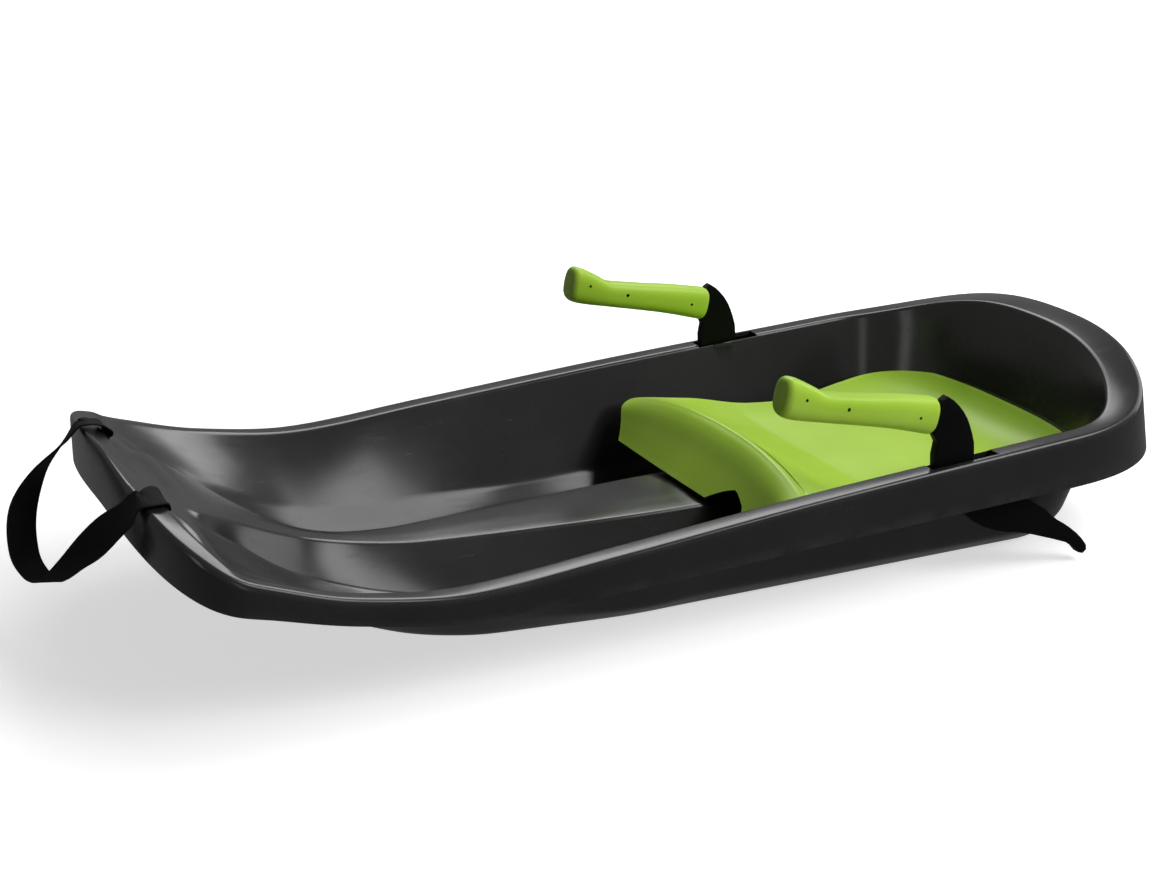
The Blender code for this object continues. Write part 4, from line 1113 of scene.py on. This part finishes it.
def smooth_skin(angle):
    """A modifier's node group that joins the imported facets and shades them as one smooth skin."""
    group = bpy.data.node_groups.new("smooth_skin", "GeometryNodeTree")
    group.interface.new_socket("Geometry", in_out="INPUT", socket_type="NodeSocketGeometry")
    group.interface.new_socket("Geometry", in_out="OUTPUT", socket_type="NodeSocketGeometry")
    nodes, links = group.nodes, group.links
    start, end = nodes.new("NodeGroupInput"), nodes.new("NodeGroupOutput")
    merge = nodes.new("GeometryNodeMergeByDistance")
    merge.inputs["Distance"].default_value = FACET_MERGE
    remove = nodes.new("GeometryNodeRemoveAttribute")
    remove.inputs["Name"].default_value = "custom_normal"
    faces, edges = nodes.new("GeometryNodeSetShadeSmooth"), nodes.new("GeometryNodeSetShadeSmooth")
    faces.domain, edges.domain = "FACE", "EDGE"
    turn = nodes.new("GeometryNodeInputMeshEdgeAngle")
    sharp = nodes.new("FunctionNodeCompare")
    sharp.operation = "GREATER_THAN"
    sharp.inputs[1].default_value = angle
    links.new(turn.outputs["Unsigned Angle"], sharp.inputs[0])
    links.new(sharp.outputs["Result"], edges.inputs["Selection"])
    edges.inputs["Shade Smooth"].default_value = False
    links.new(start.outputs[0], merge.inputs["Geometry"])
    links.new(merge.outputs["Geometry"], remove.inputs["Geometry"])
    links.new(remove.outputs["Geometry"], faces.inputs["Geometry"])
    links.new(faces.outputs["Geometry"], edges.inputs["Geometry"])
    links.new(edges.outputs["Geometry"], end.inputs[0])
    return group


def lamp(name, place, aim, size, power, lights):
    """A soft oblong lamp that the camera doesn't see."""
    data = bpy.data.lights.new(name, "AREA")
    data.shape = "RECTANGLE"
    data.size, data.size_y = size
    data.energy = power
    obj = add_object(name, data)
    obj.location = place
    obj.rotation_mode = "QUATERNION"
    obj.rotation_quaternion = (Vector(aim) - Vector(place)).to_track_quat("-Z", "Y")
    obj.visible_camera = False
    obj.visible_glossy = lights != "matt"
    obj.visible_diffuse = lights != "gloss"


def from_middle(azimuth, elevation, distance):
    """A place round the sled, by compass angle from +X, height angle, and distance in metres."""
    a, e = radians(azimuth), radians(elevation)
    return (distance * cos(e) * cos(a), distance * cos(e) * sin(a), LAMP_AIM_HEIGHT + distance * sin(e))


def build_floor():
    """A pale floor that keeps the sled's shadow, paler still further out, and dimmer in gloss."""
    bm = bmesh.new()
    bmesh.ops.create_circle(bm, cap_ends=True, radius=FLOOR_RADIUS, segments=64)
    n = Surface("floor_paint")
    tint = n.mix(n.ramp(n.noise(2.0), 0.3, 0.7), (0.70, 0.70, 0.70), (0.72, 0.72, 0.72))
    n.finish(tint, n.ramp(n.noise(30.0), 0.3, 0.7, 0.85, 0.95), n.bump(n.noise(400.0), 0.0001, 0.1),
             Specular_IOR_Level=0.2)
    n.shader.inputs["Emission Color"].default_value = (1, 1, 1, 1)
    path = n.add("ShaderNodeLightPath")
    away = n.add("ShaderNodeVectorMath", operation="LENGTH")
    n.link(n.place, away.inputs[0])
    glow = n.ramp(away.outputs["Value"], FLOOR_GLOW_FROM, FLOOR_GLOW_TO, FLOOR_GLOW_NEAR, 1.0)
    n.link(n.maths("MULTIPLY", path.outputs["Is Camera Ray"], glow), n.shader.inputs["Emission Strength"])
    mirrored = n.add("ShaderNodeEmission")
    mirrored.inputs["Strength"].default_value = FLOOR_IN_GLOSS
    either = n.add("ShaderNodeMixShader")
    n.link(path.outputs["Is Glossy Ray"], either.inputs["Fac"])
    n.link(n.shader.outputs["BSDF"], either.inputs[1])
    n.link(mirrored.outputs["Emission"], either.inputs[2])
    n.link(either.outputs["Shader"], n.tree.nodes["Material Output"].inputs["Surface"])
    add_object("floor", mesh_from(bm, "floor"), n.material)


def build_surround():
    """A world that is white to the camera and through clear things, and dimmer in gloss."""
    world = bpy.data.worlds.new("surround")
    bpy.context.scene.world = world
    n = Nodes(world)
    back = n.tree.nodes["Background"]
    back.inputs["Color"].default_value = (1, 1, 1, 1)
    path = n.add("ShaderNodeLightPath")
    seen = n.maths("MAXIMUM", path.outputs["Is Camera Ray"], path.outputs["Is Transmission Ray"])
    gloss = n.maths("MULTIPLY", path.outputs["Is Glossy Ray"], WORLD_GLOSS)
    rest = n.maths("SUBTRACT", 1.0, n.maths("MAXIMUM", seen, path.outputs["Is Glossy Ray"]))
    level = n.maths("ADD", n.maths("ADD", seen, gloss), n.maths("MULTIPLY", rest, WORLD_DIFFUSE))
    n.link(level, back.inputs["Strength"])


def studio():
    """The floor, the surround and the lamps."""
    build_floor()
    build_surround()
    aim = (0, 0, LAMP_AIM_HEIGHT)
    for name, azimuth, elevation, size, power, lights in LAMPS:
        lamp(name, from_middle(azimuth, elevation, LAMP_DISTANCE), aim, size, power, lights)


def main():
    bpy.context.scene.view_settings.view_transform = "Standard"
    camera()
    build_strap(webbing_material())
    hull = moulded_plastic("hull_plastic_look", HULL_COLOURS, roughness=0.21, grain=0.02, specular=0.5)
    lime = moulded_plastic("lime_plastic_look", LIME_COLOURS, roughness=0.36, grain=0.15, specular=0.4)
    black = moulded_plastic("black_plastic_look", BLACK_COLOURS, roughness=0.5, grain=0.30, specular=0.10)
    build_hull(hull)
    build_seat(lime)
    for side, sign in (("left", 1), ("right", -1)):
        build_lever(side, sign, black)
        build_grip(side, sign, lime)
    steel = steel_material()
    skin = smooth_skin(radians(SHARP_FROM))
    for side in ("left", "right"):
        pin = frame["nodes"][f"pivot_pin_{side}"]
        for slot in pin.material_slots:
            slot.material = steel
        pin.modifiers.new("skin", "NODES").node_group = skin
    studio()


main()
